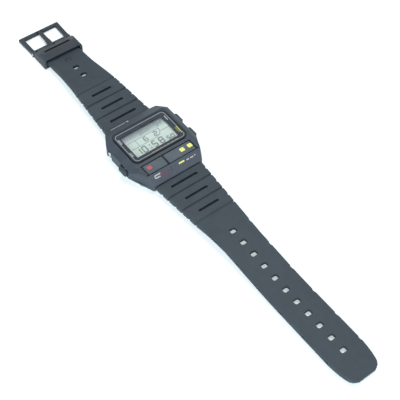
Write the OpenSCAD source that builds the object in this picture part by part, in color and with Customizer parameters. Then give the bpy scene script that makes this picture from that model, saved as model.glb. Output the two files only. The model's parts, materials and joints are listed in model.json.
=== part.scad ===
// Digital wristwatch in a resin case, laid open on a table, built as separate pieces.
// Origin: middle of the flat outer face of the case back, which rests on the table.
// +X points to 3 o'clock, +Y to 12 o'clock (buckle end), +Z up through the crystal.

/* [Case] */
// Half width of the case across the flanks, without buttons
case_half_width = 17.7; // [17.4:0.1:18.2]
// Half length of the case from 6 to 12 o'clock
case_half_length = 18.4; // [18.2:0.1:18.8]
// Height of the bezel top above the table
bezel_top = 9.6; // [9.4:0.1:10.2]
// Height where the steep flank ends and its chamfer begins
flank_break = 7.5; // [7.3:0.1:7.7]
// Height of the widest line of the flank, above its undercut
flank_start = 3.6; // [3.4:0.1:3.9]
// Thickness of the steel case back
back_thickness = 1.0; // [0.8:0.1:1.0]

/* [Crystal and display] */
// Width of the crystal
crystal_width = 27.2; // [26.8:0.1:27.6]
// Length of the crystal
crystal_length = 18.6; // [18.2:0.1:19.0]
// Distance of the display centre from the case centre towards 12 o'clock
display_y = 2.5; // [2.3:0.1:2.7]
// Thickness of the crystal
crystal_thickness = 1.3; // [1.2:0.1:1.5]
// Distance from the side of the crystal to the side of the display glass
lcd_side_inset = 1.9; // [1.9:0.1:2.4]
// Distance from the end of the crystal to the end of the display glass
lcd_end_inset = 1.7; // [1.7:0.1:2.2]

/* [Keys and buttons] */
// Width of the left front key
left_key_width = 10.2; // [9.6:0.1:10.4]
// Width of the right front key
right_key_width = 14.2; // [13.6:0.1:14.4]
// Length of both front keys towards 6 o'clock
key_length = 5.2; // [4.8:0.1:5.3]
// Travel of the front keys
key_travel = 0.6; // [0.4:0.1:0.6]
// Length of a side button along the flank
button_length = 5.1; // [4.4:0.1:5.4]
// Height of a side button
button_height = 2.2; // [1.8:0.1:2.4]
// Travel of the side buttons
button_travel = 0.7; // [0.5:0.1:0.7]
// Radius of a button stem
stem_radius = 0.6; // [0.5:0.05:0.65]

/* [Strap] */
// Half width of the strap beside the case
strap_root_half = 11.85; // [11.4:0.05:12.0]
// Half width of the plain strap
strap_end_half = 8.7; // [8.3:0.05:8.8]
// Distance from one strap segment to the next
segment_pitch = 8.35; // [8.1:0.05:8.5]
// Thickness of the strap in its segments
segment_thickness = 2.6; // [2.4:0.1:2.9]
// Thickness of the plain strap
strap_thickness = 1.8; // [1.6:0.1:2.0]
// Distance from the last buckle hole to the tip of the long strap
tip_margin = 13.2; // [12.8:0.1:16]
// Distance from one buckle hole to the next
hole_pitch = 6.6; // [6.2:0.1:6.8]
// Number of buckle holes in the long strap
hole_count = 11; // [8:1:11]

/* [Buckle] */
// Distance from the case centre to the buckle pin
pin_y = 81.2; // [78:0.1:90]
// Thickness of the side walls of the buckle block
block_wall = 1.25; // [1.2:0.05:1.6]
// Length of the frame from the pin to its end bar
frame_reach = 12.1; // [11.3:0.1:13]
// Width of the end bar
end_bar = 1.9; // [1.8:0.1:2.4]
// Width of the side rails
rail_width = 1.9; // [1.7:0.1:2.1]
// Width of the tongue
tongue_width = 2.3; // [2.2:0.1:2.6]

/* [Fits] */
// Radial clearance of a pin or stem in its bore
running_fit = 0.05; // [0.03:0.01:0.08]
// Gap around a piece that sits still in its pocket
seat_gap = 0.1; // [0.05:0.01:0.15]
// Gap between pieces that move past each other
moving_gap = 0.35; // [0.3:0.01:0.4]

/* [Hidden] */
$fn = 48;
over = 0.5;
bar_y = case_half_length - 2.2;
bar_z = 3.3;
barrel_radius = 2.0;
tube_radius = 0.75;
tip_radius = 0.4;
tongue_half = 8.0;
recess_half = tongue_half + moving_gap;
crystal_top = bezel_top + 0.4;
crystal_floor = crystal_top - crystal_thickness;
lcd_width = crystal_width - 2 * lcd_side_inset;
lcd_length = crystal_length - 2 * lcd_end_inset;
window_width = lcd_width - 1.8;
window_length = lcd_length - 1.8;
bezel_flat = crystal_width / 2 + 0.7;
corner_reach = 22.2;
mask_thickness = 0.3;
lcd_top = crystal_floor - mask_thickness;
lcd_thickness = 1.6;
lcd_floor = lcd_top - lcd_thickness;
reflector_thickness = 0.2;
ledge_underside = 7.6;
board_top = 4.8;
board_thickness = 0.8;
board_floor = board_top - board_thickness;
cavity_x = 13.3;
cavity_y = 12.3;
cavity_corner = 4.4;
key_ceiling = 6.3;
key_pocket_floor = 7.3;
key_top = 9.3;
key_floor = key_pocket_floor + key_travel + 0.15;
key_middle_y = -11.4;
key_seam_x = -1.8;
key_gap = 0.3;
groove_y = key_middle_y - key_length / 2 - 0.35;
groove_floor = 7.6;
groove_half = 13.2;
button_z = 5.6;
upper_button_y = 6.1;
lower_button_y = -3.7;
adjust_button_y = 7.1;
// each button as [y, side], side 1 is 3 o'clock and -1 is 9 o'clock
flat_button_spots = [[upper_button_y, 1], [lower_button_y, 1], [lower_button_y, -1]];
button_spots = concat(flat_button_spots, [[adjust_button_y, -1]]);
button_face = case_half_width + 1.3;
cap_thickness = 1.4;
cap_base_x = button_face - cap_thickness;
button_recess_x = cap_base_x - button_travel - 0.2;
button_recess_rise = 0.7;
spring_seat_x = case_half_width - 2.5;
adjust_seat_x = case_half_width - 3.1;
stem_end_x = 12.2;
clip_thickness = 0.3;
clip_gap = 0.12;
recessed_face = case_half_width - 0.2;
scoop_radius = 1.6;
screw_x = cavity_x - 1.0;
screw_y = cavity_y - 1.0;
screw_radius = 0.5;
back_half_x = cavity_x + 1.2;
back_half_y = cavity_y + 1.2;
back_corner = 2.4;
board_screw_x = 8.6;
board_screw_y = 10.6;
battery_x = -4.4;
battery_y = 0.5;
battery_radius = 8.0;
battery_height = 2.0;
buzzer_x = 7.6;
buzzer_y = 4.0;
buzzer_radius = 4.9;
chip_x = 7.4;
chip_y = -5.2;
chip_radius = 3.2;
quartz_x = 3.8;
quartz_y = -10.2;
quartz_radius = 0.95;
quartz_length = 5.6;
lamp_x = -8.0;
lamp_y = -6.2;
lamp_z = 6.9;
lamp_radius = 0.55;
zebra_half = lcd_width / 2 - 1.9;
zebra_width = 1.6;
zebra_offset = lcd_length / 2 - 1.1;
contact_x = 10.95;
contact_height = 1.4;
seal_section = 0.25;
groove_radius = stem_radius - 0.15;
spring_radius = stem_radius + 0.35;
spring_gap = 0.35;
clip_radius = stem_radius + 0.55;
key_stem_y = clip_radius + 0.65 - cavity_y;
key_stem_inset = clip_radius + 2.45;
spring_wire = 0.12;
pin_z = 1.4;
tunnel_gap = 0.35;
frame_half = strap_end_half + tunnel_gap + block_wall;
pin_radius = 0.6;
pin_half = frame_half + 0.15;
knuckle_radius = 1.35;
knuckle_half = frame_half - rail_width - moving_gap;
frame_floor = 0.6;
frame_top = 2.1;
block_start = pin_y - 11.2;
block_top = 6.4;
block_wide_end = pin_y - knuckle_radius - 0.4;
short_strap_reach = pin_y - 5.6;
strap_start = case_half_length + moving_gap;
half_segment = segment_pitch / 2;
first_slot = strap_start + 3.55;
last_groove = first_slot + 5 * half_segment;
taper_end = 60.0;
arch_end = 40.0;
groove_depth = 0.6;
slot_depth = 1.4;
slot_halves = [6.75, 5.75, 5.1];
first_hole = 54.9;
long_strap_reach = first_hole + (hole_count - 1) * hole_pitch + tip_margin;
short_hole_pitch = 6.4;
stud_y = block_start - 3.9;
stud_top = short_top(stud_y) - 0.1;
lip_top = short_top(stud_y) - strap_thickness - tunnel_gap;
short_holes = [for (k = [2:-1:0]) stud_y - k * short_hole_pitch];
tunnel_end = short_strap_reach + 0.6;
tunnel_ceiling = short_top(short_strap_reach) + 0.3;
tunnel_floor = tunnel_ceiling - 0.3 - strap_thickness - tunnel_gap;
slot_y = pin_y - 6.4;
tongue_gap = 0.3;
notch_floor = frame_floor + 0.8;
end_y = pin_y + frame_reach;

case_colour = [0.27, 0.29, 0.33];
strap_colour = [0.25, 0.29, 0.31];
steel_colour = [0.70, 0.71, 0.72];
brass_colour = [0.80, 0.66, 0.33];
board_colour = [0.12, 0.38, 0.22];

// Shared shapes

function smooth(t) = let (u = min(max(t, 0), 1)) u * u * (3 - 2 * u);

// Skin over a list of rings that all have the same number of points.
module loft(rings) {
  count = len(rings);
  size = len(rings[0]);
  last = (count - 1) * size;
  polyhedron(
    points = [for (ring = rings) each ring],
    faces = concat(
      [[for (j = [0:size - 1]) j]],
      [for (i = [0:count - 2], j = [0:size - 1], half = [0:1])
        let (a = i * size + j, b = i * size + (j + 1) % size)
        half == 0 ? [a, a + size, b] : [b, a + size, b + size]],
      [[for (j = [size - 1:-1:0]) last + j]]
    ),
    convexity = 8
  );
}

// Coil of round wire standing on z = 0, its wire centre line on a circle.
module coil(radius, wire, height, turns) {
  steps = 12;
  sides = 6;
  rise = height - 2 * wire;
  loft([for (i = [0:steps * turns])
    let (turn = 360 * i / steps, z = wire + rise * i / (steps * turns))
    [for (j = [0:sides - 1])
      let (a = -360 * j / sides, r = radius + wire * cos(a))
      [r * cos(turn), r * sin(turn), z + wire * sin(a)]]]);
}

// Plate lying in the XY plane with round corners.
module plate(width, length, corner, height) {
  linear_extrude(height)
    offset(r = corner)
      square([width - 2 * corner, length - 2 * corner], center = true);
}

module octagon(half_x, half_y, cut) {
  polygon([
    [half_x, half_y - cut], [half_x - cut, half_y], [cut - half_x, half_y], [-half_x, half_y - cut],
    [-half_x, cut - half_y], [cut - half_x, -half_y], [half_x - cut, -half_y], [half_x, cut - half_y]
  ]);
}

// Turns a shape built along +Z so that it points along +X, standing at x = 0.
module along_x() {
  rotate([0, 90, 0])
    children();
}

// Prism along X from points given as [y, z].
module prism_x(half_width) {
  rotate([90, 0, 90])
    translate([0, 0, -half_width])
      linear_extrude(2 * half_width)
        children();
}

// Prism along Y from points given as [x, z].
module prism_y(from_y, to_y) {
  rotate([90, 0, 0])
    translate([0, 0, -to_y])
      linear_extrude(to_y - from_y)
        children();
}

// The case and what is inside it

// Outline of the upper case: wide shoulder at 2 o'clock, cut away at 10, tapered towards 6.
module case_plan() {
  w = case_half_width;
  l = case_half_length;
  polygon([
    [11.8, l], [w - 2.4, l - 1.9], [w - 0.7, l - 3.9], [w - 0.2, l - 5.8], [w, l - 7.8], [w, -6.9],
    [w - 0.3, -7.6], [w - 2.5, -11.6], [w - 3.3, -13.6], [w - 4.6, -16.8], [12.3, -l],
    [-12.3, -l], [4.6 - w, -16.8], [3.3 - w, -13.6], [2.5 - w, -11.6], [0.3 - w, -7.6], [-w, -6.9],
    [-w, l - 9.8], [0.5 - w, l - 8.6], [2.9 - w, l - 4.2], [4.3 - w, l - 2.2], [-11.6, l]
  ]);
}

// Outline of the bottom of the case, drawn in all round.
module case_foot() {
  l = case_half_length;
  polygon([
    [10.9, l - 0.3], [13.0, l - 2.4], [14.9, l - 7.0], [15.6, l - 10], [15.6, -6.0],
    [15.2, -9.0], [13.2, -12.8], [11.7, 0.5 - l],
    [-11.7, 0.5 - l], [-13.2, -12.8], [-15.2, -9.0], [-15.6, -6.0],
    [-15.6, l - 11], [-14.2, l - 8.0], [-12.4, l - 3.0], [-10.9, l - 0.3]
  ]);
}

// Side profile of the case: sloped band at 12, sloped legend panel at 6.
module case_side() {
  l = case_half_length;
  polygon([
    [-l + 1.2, 1.2], [-l + 0.2, 2.2], [-l, 5.6], [-l + key_top - 5.6, key_top],
    [-8.4, key_top + 0.1], [-7.6, bezel_top], [12.8, bezel_top], [l - 1.0, 7.0], [l, 5.9],
    [l - 0.2, 2.2], [l - 1.2, 1.2], [13.8, 1.2], [13.6, back_thickness],
    [-13.6, back_thickness], [-13.8, 1.2]
  ]);
}

// End profile of the case: flanks in three planes, drawn in under the buttons.
module case_front() {
  w = case_half_width;
  polygon([
    [15.6, back_thickness], [w, flank_start], [w - 0.3, flank_break], [w - 1.7, flank_break + 1.2],
    [bezel_flat, bezel_top], [-bezel_flat, bezel_top],
    [1.7 - w, flank_break + 1.2], [0.3 - w, flank_break], [-w, flank_start], [-15.6, back_thickness]
  ]);
}

// Limit that leaves a sloped facet over the 2 o'clock corner.
module case_corner() {
  rotate([0, 0, 45])
    prism_y(-40, 40)
      polygon([
        [-40, 0], [corner_reach, 0], [corner_reach, 7.0], [corner_reach - 4, 10.6], [-40, 10.6]
      ]);
}

module cavity_plan(gap) {
  octagon(cavity_x - gap, cavity_y - gap, cavity_corner);
}

module key_plan(width, middle_x, gap) {
  translate([middle_x, key_middle_y])
    offset(r = 0.4)
      square([width + 2 * gap - 0.8, key_length + 2 * gap - 0.8], center = true);
}

left_key_x = key_seam_x - key_gap / 2 - left_key_width / 2;
right_key_x = key_seam_x + key_gap / 2 + right_key_width / 2;

function key_stems(middle_x, width) =
  [middle_x - width / 2 + key_stem_inset, middle_x + width / 2 - key_stem_inset];

module button_bore(y, side, face) {
  translate([0, y, button_z])
    mirror([side < 0 ? 1 : 0, 0, 0])
      along_x() {
        translate([0, 0, cavity_x - over])
          cylinder(r = stem_radius + running_fit, h = spring_seat_x - cavity_x + 1);
        // room for the retaining ring where the cavity corner comes close
        translate([0, 0, cavity_x - 1.2])
          cylinder(r = clip_radius + clip_gap, h = 1.2);
        translate([0, 0, spring_seat_x - 1.25])
          cylinder(r = stem_radius + running_fit + 2 * seal_section, h = 0.55);
        translate([0, 0, face < case_half_width ? adjust_seat_x : spring_seat_x])
          cylinder(r = spring_radius + spring_gap, h = 4);
      }
}

module strap_recess(end) {
  for (cut = [0, 1])
    prism_x(recess_half)
      translate([end * bar_y, bar_z])
        if (cut == 0) {
          circle(r = barrel_radius + moving_gap);
        } else {
          polygon([
            [0, -4], [end * 3, -4], [end * 3, 1.8], [0, 1.8], [0, 0],
            [-end * 0.6, -2.27], [-end * 0.6, -4]
          ]);
        }
  along_x()
    translate([-bar_z, end * bar_y, -recess_half - 1.2])
      cylinder(r = tip_radius + running_fit, h = 2 * recess_half + 2.4);
}

module case_body() {
  color(case_colour)
    difference() {
      intersection() {
        union() {
          translate([0, 0, flank_start])
            linear_extrude(crystal_top)
              case_plan();
          hull() {
            translate([0, 0, flank_start])
              linear_extrude(0.01)
                case_plan();
            translate([0, 0, back_thickness])
              linear_extrude(0.01)
                case_foot();
          }
        }
        prism_x(20)
          case_side();
        prism_y(-20, 20)
          case_front();
        case_corner();
      }
      // crystal seat with a bevelled lip, and the opening under it
      translate([0, display_y, crystal_floor])
        plate(crystal_width + 2 * seat_gap, crystal_length + 2 * seat_gap, 2.7, 3);
      translate([0, display_y, bezel_top - 0.45])
        plate(crystal_width + 0.8, crystal_length + 0.8, 2.9, 3);
      translate([0, display_y, ledge_underside - over])
        plate(crystal_width - 2.0, crystal_length - 2.0, 1.4, 3);
      // room for the module, lower ceiling under the front keys
      linear_extrude(key_ceiling)
        cavity_plan(0);
      intersection() {
        linear_extrude(ledge_underside)
          cavity_plan(0);
        translate([-20, -7.1, 0])
          cube([40, 40, 20]);
      }
      translate([0, display_y, key_ceiling])
        plate(lcd_width + 0.4, lcd_length + 0.4, 0.3, ledge_underside - key_ceiling + 0.1);
      // front key pockets, with a groove below them and one beside the left key
      translate([0, 0, key_pocket_floor]) {
        linear_extrude(5)
          key_plan(left_key_width, left_key_x, seat_gap);
        linear_extrude(5)
          key_plan(right_key_width, right_key_x, seat_gap);
      }
      translate([-groove_half, groove_y - 0.25, groove_floor])
        cube([2 * groove_half, 0.5, 3]);
      translate([left_key_x - left_key_width / 2 - 0.5, key_middle_y - key_length / 2, groove_floor])
        cube([0.5, key_length, 3]);
      for (x = concat(key_stems(left_key_x, left_key_width), key_stems(right_key_x, right_key_width)))
        translate([x, key_stem_y, key_ceiling - over])
          cylinder(r = stem_radius + running_fit, h = 3);
      // side buttons
      for (spot = flat_button_spots) {
        button_bore(spot[0], spot[1], button_face);
        translate([spot[1] * (button_recess_x + 5), spot[0], button_z + button_recess_rise / 2 - 0.1])
          cube([10, button_length + 0.4, button_height + button_recess_rise + 0.2], center = true);
      }
      // scooped recess of the adjust button
      button_bore(adjust_button_y, -1, recessed_face);
      translate([-case_half_width - 0.2, adjust_button_y, 0])
        cylinder(r = scoop_radius, h = flank_break);
      // strap ends and spring bars
      strap_recess(1);
      strap_recess(-1);
      // gasket groove and screw holes in the bottom face
      linear_extrude(back_thickness + 0.6)
        difference() {
          cavity_plan(-0.75);
          cavity_plan(-0.15);
        }
      for (x = [-screw_x, screw_x], y = [-screw_y, screw_y])
        translate([x, y, 0])
          cylinder(r = screw_radius, h = 3.4);
    }
}

module crystal() {
  color([0.80, 0.88, 0.90, 0.4])
    translate([0, display_y, crystal_floor]) {
      plate(crystal_width, crystal_length, 2.6, crystal_thickness - 0.3);
      translate([0, 0, crystal_thickness - 0.3])
        plate(crystal_width - 0.5, crystal_length - 0.5, 2.4, 0.3);
    }
}

module dial_mask() {
  color([0.16, 0.18, 0.22])
    translate([0, display_y, lcd_top])
      difference() {
        plate(crystal_width - 2.2, crystal_length - 2.2, 1.3, mask_thickness);
        translate([0, 0, -over])
          plate(window_width, window_length, 0.5, 2);
      }
}

module lcd_glass() {
  color([0.78, 0.86, 0.82]) {
    translate([-lcd_width / 2, display_y - lcd_length / 2, lcd_floor])
      cube([lcd_width, lcd_length, lcd_thickness / 2]);
    translate([-lcd_width / 2, display_y - lcd_length / 2 + 0.6, lcd_top - lcd_thickness / 2])
      cube([lcd_width, lcd_length - 1.2, lcd_thickness / 2]);
  }
}

module lcd_reflector() {
  color([0.86, 0.87, 0.84])
    translate([-lcd_width / 2 + 0.2, display_y - 5.6, lcd_floor - reflector_thickness])
      cube([lcd_width - 0.4, 11.2, reflector_thickness]);
}

module zebra_strips() {
  color([0.85, 0.45, 0.55])
    for (side = [-1, 1])
      translate([-zebra_half, display_y + side * zebra_offset - zebra_width / 2, board_top])
        cube([2 * zebra_half, zebra_width, lcd_floor - board_top]);
}

module module_frame() {
  color([0.90, 0.88, 0.82])
    difference() {
      intersection() {
        translate([0, 0, board_top])
          linear_extrude(ledge_underside - board_top)
            cavity_plan(0.35);
        translate([-20, -6.9, 0])
          cube([40, 30, 20]);
      }
      translate([-lcd_width / 2 - 0.1, display_y - lcd_length / 2 - 0.1, lcd_floor - reflector_thickness])
        cube([lcd_width + 0.2, lcd_length + 0.2, 4]);
      for (side = [-1, 1])
        translate([-zebra_half - 0.1, display_y + side * zebra_offset - 0.9, board_top - over])
          cube([2 * zebra_half + 0.2, 1.8, 4]);
      for (spot = button_spots)
        translate([spot[1] * 13.6, spot[0], board_top + 0.9])
          cube([7, 3.6, 3.2], center = true);
      translate([lamp_x - 1.7, lamp_y - 0.7, lamp_z - 0.6])
        cube([3.4, 1.4, 4]);
      for (x = [-board_screw_x, board_screw_x])
        translate([x, board_screw_y, 0])
          cylinder(r = 0.4, h = 6.4);
    }
}

module circuit_board() {
  color(board_colour)
    translate([0, 0, board_floor])
      linear_extrude(board_thickness)
        difference() {
          cavity_plan(0.7);
          for (spot = button_spots)
            translate([spot[1] * 14, spot[0]])
              square([5.6, 3.6], center = true);
          for (x = [-board_screw_x, board_screw_x])
            translate([x, board_screw_y])
              circle(r = 0.55);
        }
}

module chip_cap() {
  color([0.08, 0.08, 0.09])
    translate([chip_x, chip_y, board_floor - 1.0])
      intersection() {
        cylinder(r = chip_radius, h = 1.0);
        translate([0, 0, 5.2])
          sphere(r = 5.6);
      }
}

module quartz_can() {
  color(steel_colour)
    translate([quartz_x, quartz_y, board_floor - quartz_radius])
      along_x() {
        cylinder(r = quartz_radius, h = quartz_length);
        translate([0, 0, -0.5])
          cylinder(r = quartz_radius - 0.15, h = 0.5);
        for (side = [-1, 1])
          translate([-0.3, side * 0.4, -1.5])
            cylinder(r = 0.15, h = 1.2, $fn = 16);
      }
}

module lamp() {
  color([0.95, 0.90, 0.70])
    translate([lamp_x - 1.5, lamp_y, lamp_z])
      along_x() {
        cylinder(r = lamp_radius, h = 2.4);
        translate([0, 0, 2.4])
          sphere(r = lamp_radius);
      }
}

module battery() {
  color(steel_colour)
    translate([battery_x, battery_y, board_floor - battery_height])
      rotate_extrude()
        polygon([
          [0, 0], [battery_radius - 0.3, 0], [battery_radius, 0.3], [battery_radius, battery_height - 0.5],
          [battery_radius - 0.4, battery_height - 0.3], [battery_radius - 1.0, battery_height - 0.3],
          [battery_radius - 1.2, battery_height], [0, battery_height]
        ]);
}

// Spring strap that holds the cell against the board, with a leg at each side.
module battery_clip() {
  low = board_floor - battery_height - 0.25;
  color(steel_colour) {
    translate([battery_x - 8.45, battery_y - 2, low])
      cube([16.9, 4, 0.25]);
    for (side = [-1, 1])
      translate([battery_x + side * 8.325 - 0.125, battery_y - 2, low])
        cube([0.25, 4, board_floor - low]);
  }
}

// Moulded tray between the board and the case back: open round the cell, closed below it.
module spacer_frame() {
  color([0.90, 0.88, 0.82])
    translate([0, 0, back_thickness])
      difference() {
        linear_extrude(board_floor - back_thickness)
          cavity_plan(0.35);
        translate([buzzer_x, buzzer_y, -over])
          cylinder(r = buzzer_radius + 0.2, h = 5);
        translate([0, 0, 0.5])
          linear_extrude(5) {
            translate([battery_x, battery_y])
              circle(r = battery_radius + 0.2);
            translate([battery_x, battery_y])
              square([17.4, 4.4], center = true);
            translate([chip_x, chip_y])
              circle(r = chip_radius + 0.3);
            translate([quartz_x - 1.8, quartz_y - quartz_radius - 0.25])
              square([quartz_length + 2.2, 2 * quartz_radius + 0.5]);
            for (x = [-board_screw_x, board_screw_x])
              translate([x, board_screw_y])
                circle(r = 1.1);
          }
      }
}

module buzzer_disc() {
  color(brass_colour)
    translate([buzzer_x, buzzer_y, back_thickness])
      cylinder(r = buzzer_radius, h = 0.2);
}

module buzzer_element() {
  color([0.88, 0.87, 0.80])
    translate([buzzer_x, buzzer_y, back_thickness + 0.2])
      cylinder(r = 3.6, h = 0.2);
}

module buzzer_spring() {
  color(brass_colour)
    translate([buzzer_x, buzzer_y, back_thickness + 0.4])
      coil(0.8, 0.12, board_floor - back_thickness - 0.4, 4);
}

// One L-shaped leaf on the board behind each side button.
module switch_contacts() {
  color(brass_colour)
    for (spot = button_spots)
      translate([spot[1] * contact_x, spot[0], board_top]) {
        translate([-0.1, -1.0, 0])
          cube([0.2, 2.0, contact_height]);
        translate([spot[1] > 0 ? -0.7 : 0, -1.0, 0])
          cube([0.7, 2.0, 0.2]);
      }
}

module board_screws() {
  color(steel_colour)
    for (x = [-board_screw_x, board_screw_x])
      translate([x, board_screw_y, board_floor - 0.5])
        difference() {
          union() {
            cylinder(r = 0.9, h = 0.5);
            cylinder(r = 0.4, h = 2.4);
          }
          translate([-0.15, -2, -over])
            cube([0.3, 4, over + 0.25]);
        }
}

module back_gasket() {
  color([0.10, 0.10, 0.11])
    translate([0, 0, back_thickness])
      linear_extrude(0.6)
        difference() {
          cavity_plan(-0.7);
          cavity_plan(-0.2);
        }
}

module case_back() {
  color(steel_colour)
    difference() {
      intersection() {
        linear_extrude(back_thickness)
          octagon(back_half_x, back_half_y, back_corner);
        prism_y(-15, 15)
          polygon([
            [0.3 - back_half_x, 0], [back_half_x - 0.3, 0], [back_half_x, 0.3],
            [back_half_x, back_thickness], [-back_half_x, back_thickness], [-back_half_x, 0.3]
          ]);
      }
      for (x = [-screw_x, screw_x], y = [-screw_y, screw_y])
        translate([x, y, -over]) {
          cylinder(r = screw_radius + 0.1, h = 3);
          cylinder(r = 1.2, h = over + 0.5);
        }
      // turned ring left bare where a maker would engrave
      translate([0, 0, -over])
        difference() {
          cylinder(r = 9.0, h = over + 0.12);
          translate([0, 0, -over])
            cylinder(r = 8.6, h = 2);
        }
    }
}

module back_screws() {
  color(steel_colour)
    for (x = [-screw_x, screw_x], y = [-screw_y, screw_y])
      translate([x, y, 0.1])
        difference() {
          union() {
            cylinder(r = 1.1, h = 0.4);
            cylinder(r = screw_radius, h = 3.1);
          }
          for (turn = [0, 90])
            rotate([0, 0, turn])
              translate([-0.8, -0.14, -over])
                cube([1.6, 0.28, over + 0.2]);
        }
}

module spring_bar(end) {
  color(steel_colour)
    translate([0, end * bar_y, bar_z])
      along_x()
        rotate_extrude()
          polygon([
            [0, -9.3], [tip_radius - 0.1, -9.3], [tip_radius, -9.2], [tip_radius, -8.2],
            [tube_radius, -8.2], [tube_radius, 8.2], [tip_radius, 8.2], [tip_radius, 9.2],
            [tip_radius - 0.1, 9.3], [0, 9.3]
          ]);
}

module spring_bar_short() {
  spring_bar(1);
}

module spring_bar_long() {
  spring_bar(-1);
}

module button_seals() {
  color([0.10, 0.10, 0.11])
    for (spot = button_spots)
      translate([spot[1] * (spring_seat_x - 0.98), spot[0], button_z])
        along_x()
          rotate_extrude()
            translate([stem_radius + running_fit + seal_section - 0.01, 0])
              circle(r = seal_section, $fn = 24);
}

// Front keys: each stands on two stems and two coil springs

module front_key(middle_x, width) {
  color(case_colour)
    difference() {
      union() {
        translate([0, 0, key_floor])
          linear_extrude(key_top - 0.35 - key_floor)
            key_plan(width, middle_x, 0);
        // crowned pressing face
        translate([middle_x, key_middle_y, key_top - 0.35])
          intersection() {
            prism_x(width / 2 - 0.25)
              polygon([[-2.5, 0], [2.5, 0], [2.2, 0.35], [-2.0, 0.35]]);
            prism_y(-3, 3)
              polygon([[-width / 2, 0], [width / 2, 0], [width / 2 - 0.5, 0.35], [0.5 - width / 2, 0.35]]);
          }
        for (x = key_stems(middle_x, width))
          translate([x, key_stem_y, key_ceiling - 0.65])
            cylinder(r = stem_radius, h = key_top - 1 - key_ceiling + 0.65);
      }
      for (x = key_stems(middle_x, width)) {
        translate([x, key_stem_y, key_floor - 0.1])
          difference() {
            cylinder(r = spring_radius + spring_gap + 0.05, h = 0.65);
            translate([0, 0, -over])
              cylinder(r = stem_radius, h = 3);
          }
        translate([x, key_stem_y, key_ceiling - clip_gap - clip_thickness])
          difference() {
            cylinder(r = clip_radius + 0.35, h = clip_thickness);
            translate([0, 0, -over])
              cylinder(r = groove_radius, h = 3);
          }
      }
    }
}

module left_key() {
  front_key(left_key_x, left_key_width);
}

module right_key() {
  front_key(right_key_x, right_key_width);
}

module key_spring_pair(middle_x, width) {
  color(steel_colour)
    for (x = key_stems(middle_x, width))
      translate([x, key_stem_y, key_pocket_floor])
        coil(spring_radius, spring_wire, key_floor + 0.55 - key_pocket_floor, 3);
}

module left_key_springs() {
  key_spring_pair(left_key_x, left_key_width);
}

module right_key_springs() {
  key_spring_pair(right_key_x, right_key_width);
}

// Open retaining ring that snaps into the groove of a stem.
module retaining_ring() {
  linear_extrude(clip_thickness)
    difference() {
      circle(r = clip_radius);
      circle(r = groove_radius);
      translate([0, -0.35])
        square([3, 0.7]);
    }
}

module key_clip_pair(middle_x, width) {
  color(steel_colour)
    for (x = key_stems(middle_x, width))
      translate([x, key_stem_y, key_ceiling - clip_gap - clip_thickness])
        retaining_ring();
}

module left_key_clips() {
  key_clip_pair(left_key_x, left_key_width);
}

module right_key_clips() {
  key_clip_pair(right_key_x, right_key_width);
}

// Side buttons: three flat ones and a small round one in a scoop

module side_stem(top_x) {
  difference() {
    translate([0, 0, stem_end_x])
      cylinder(r = stem_radius, h = top_x - stem_end_x);
    translate([0, 0, cavity_x - clip_gap - clip_thickness])
      difference() {
        cylinder(r = clip_radius + 0.85, h = clip_thickness);
        translate([0, 0, -over])
          cylinder(r = groove_radius, h = 3);
      }
  }
}

// Half profile of a cap: x is its height above the flank, the outer corners are broken.
module cap_outline(half, shoulder, bevel) {
  polygon([
    [0, -half], [shoulder, -half], [cap_thickness, bevel - half],
    [cap_thickness, half - bevel], [shoulder, half], [0, half]
  ]);
}

module side_button(y, side) {
  color(case_colour)
    translate([0, y, button_z])
      mirror([side < 0 ? 1 : 0, 0, 0])
        union() {
          along_x()
            side_stem(cap_base_x);
          // cap with bevelled pressing face and two grip grooves
          translate([cap_base_x, 0, 0])
            difference() {
              intersection() {
                rotate([90, 0, 0])
                  translate([0, 0, -button_length / 2])
                    linear_extrude(button_length)
                      cap_outline(button_height / 2, cap_thickness - 0.35, 0.35);
                linear_extrude(6, center = true)
                  cap_outline(button_length / 2, cap_thickness - 0.6, 0.6);
              }
              for (z = [-0.35, 0.35])
                translate([cap_thickness - 0.15, -5, z - 0.1])
                  cube([1, 10, 0.2]);
            }
        }
}

module upper_right_button() {
  side_button(upper_button_y, 1);
}

module lower_right_button() {
  side_button(lower_button_y, 1);
}

module lower_left_button() {
  side_button(lower_button_y, -1);
}

// Small round button at the bottom of its scoop, pressed with a pen tip.
module adjust_button() {
  color(steel_colour)
    translate([0, adjust_button_y, button_z])
      mirror([1, 0, 0])
        along_x() {
          side_stem(recessed_face - 0.5);
          translate([0, 0, recessed_face - 0.5])
            cylinder(r1 = 1.05, r2 = 0.95, h = 0.5);
        }
}

module side_spring(y, side, from_x, to_x) {
  color(steel_colour)
    translate([0, y, button_z])
      mirror([side < 0 ? 1 : 0, 0, 0])
        translate([from_x, 0, 0])
          along_x()
            coil(spring_radius, spring_wire, to_x - from_x, 3);
}

module upper_right_spring() {
  side_spring(upper_button_y, 1, spring_seat_x, cap_base_x);
}

module lower_right_spring() {
  side_spring(lower_button_y, 1, spring_seat_x, cap_base_x);
}

module lower_left_spring() {
  side_spring(lower_button_y, -1, spring_seat_x, cap_base_x);
}

module adjust_spring() {
  side_spring(adjust_button_y, -1, adjust_seat_x, recessed_face - 0.5);
}

module side_clip(y, side) {
  color(steel_colour)
    translate([0, y, button_z])
      mirror([side < 0 ? 1 : 0, 0, 0])
        translate([cavity_x - clip_gap - clip_thickness, 0, 0])
          along_x()
            retaining_ring();
}

module upper_right_clip() {
  side_clip(upper_button_y, 1);
}

module lower_right_clip() {
  side_clip(lower_button_y, 1);
}

module lower_left_clip() {
  side_clip(lower_button_y, -1);
}

module adjust_clip() {
  side_clip(adjust_button_y, -1);
}

// Strap

// Half width of either strap at a distance s from the case centre: straight taper, then parallel.
function strap_half(s) =
  strap_end_half + (strap_root_half - strap_end_half) * max(taper_end - s, 0) / (taper_end - strap_start);

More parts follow.
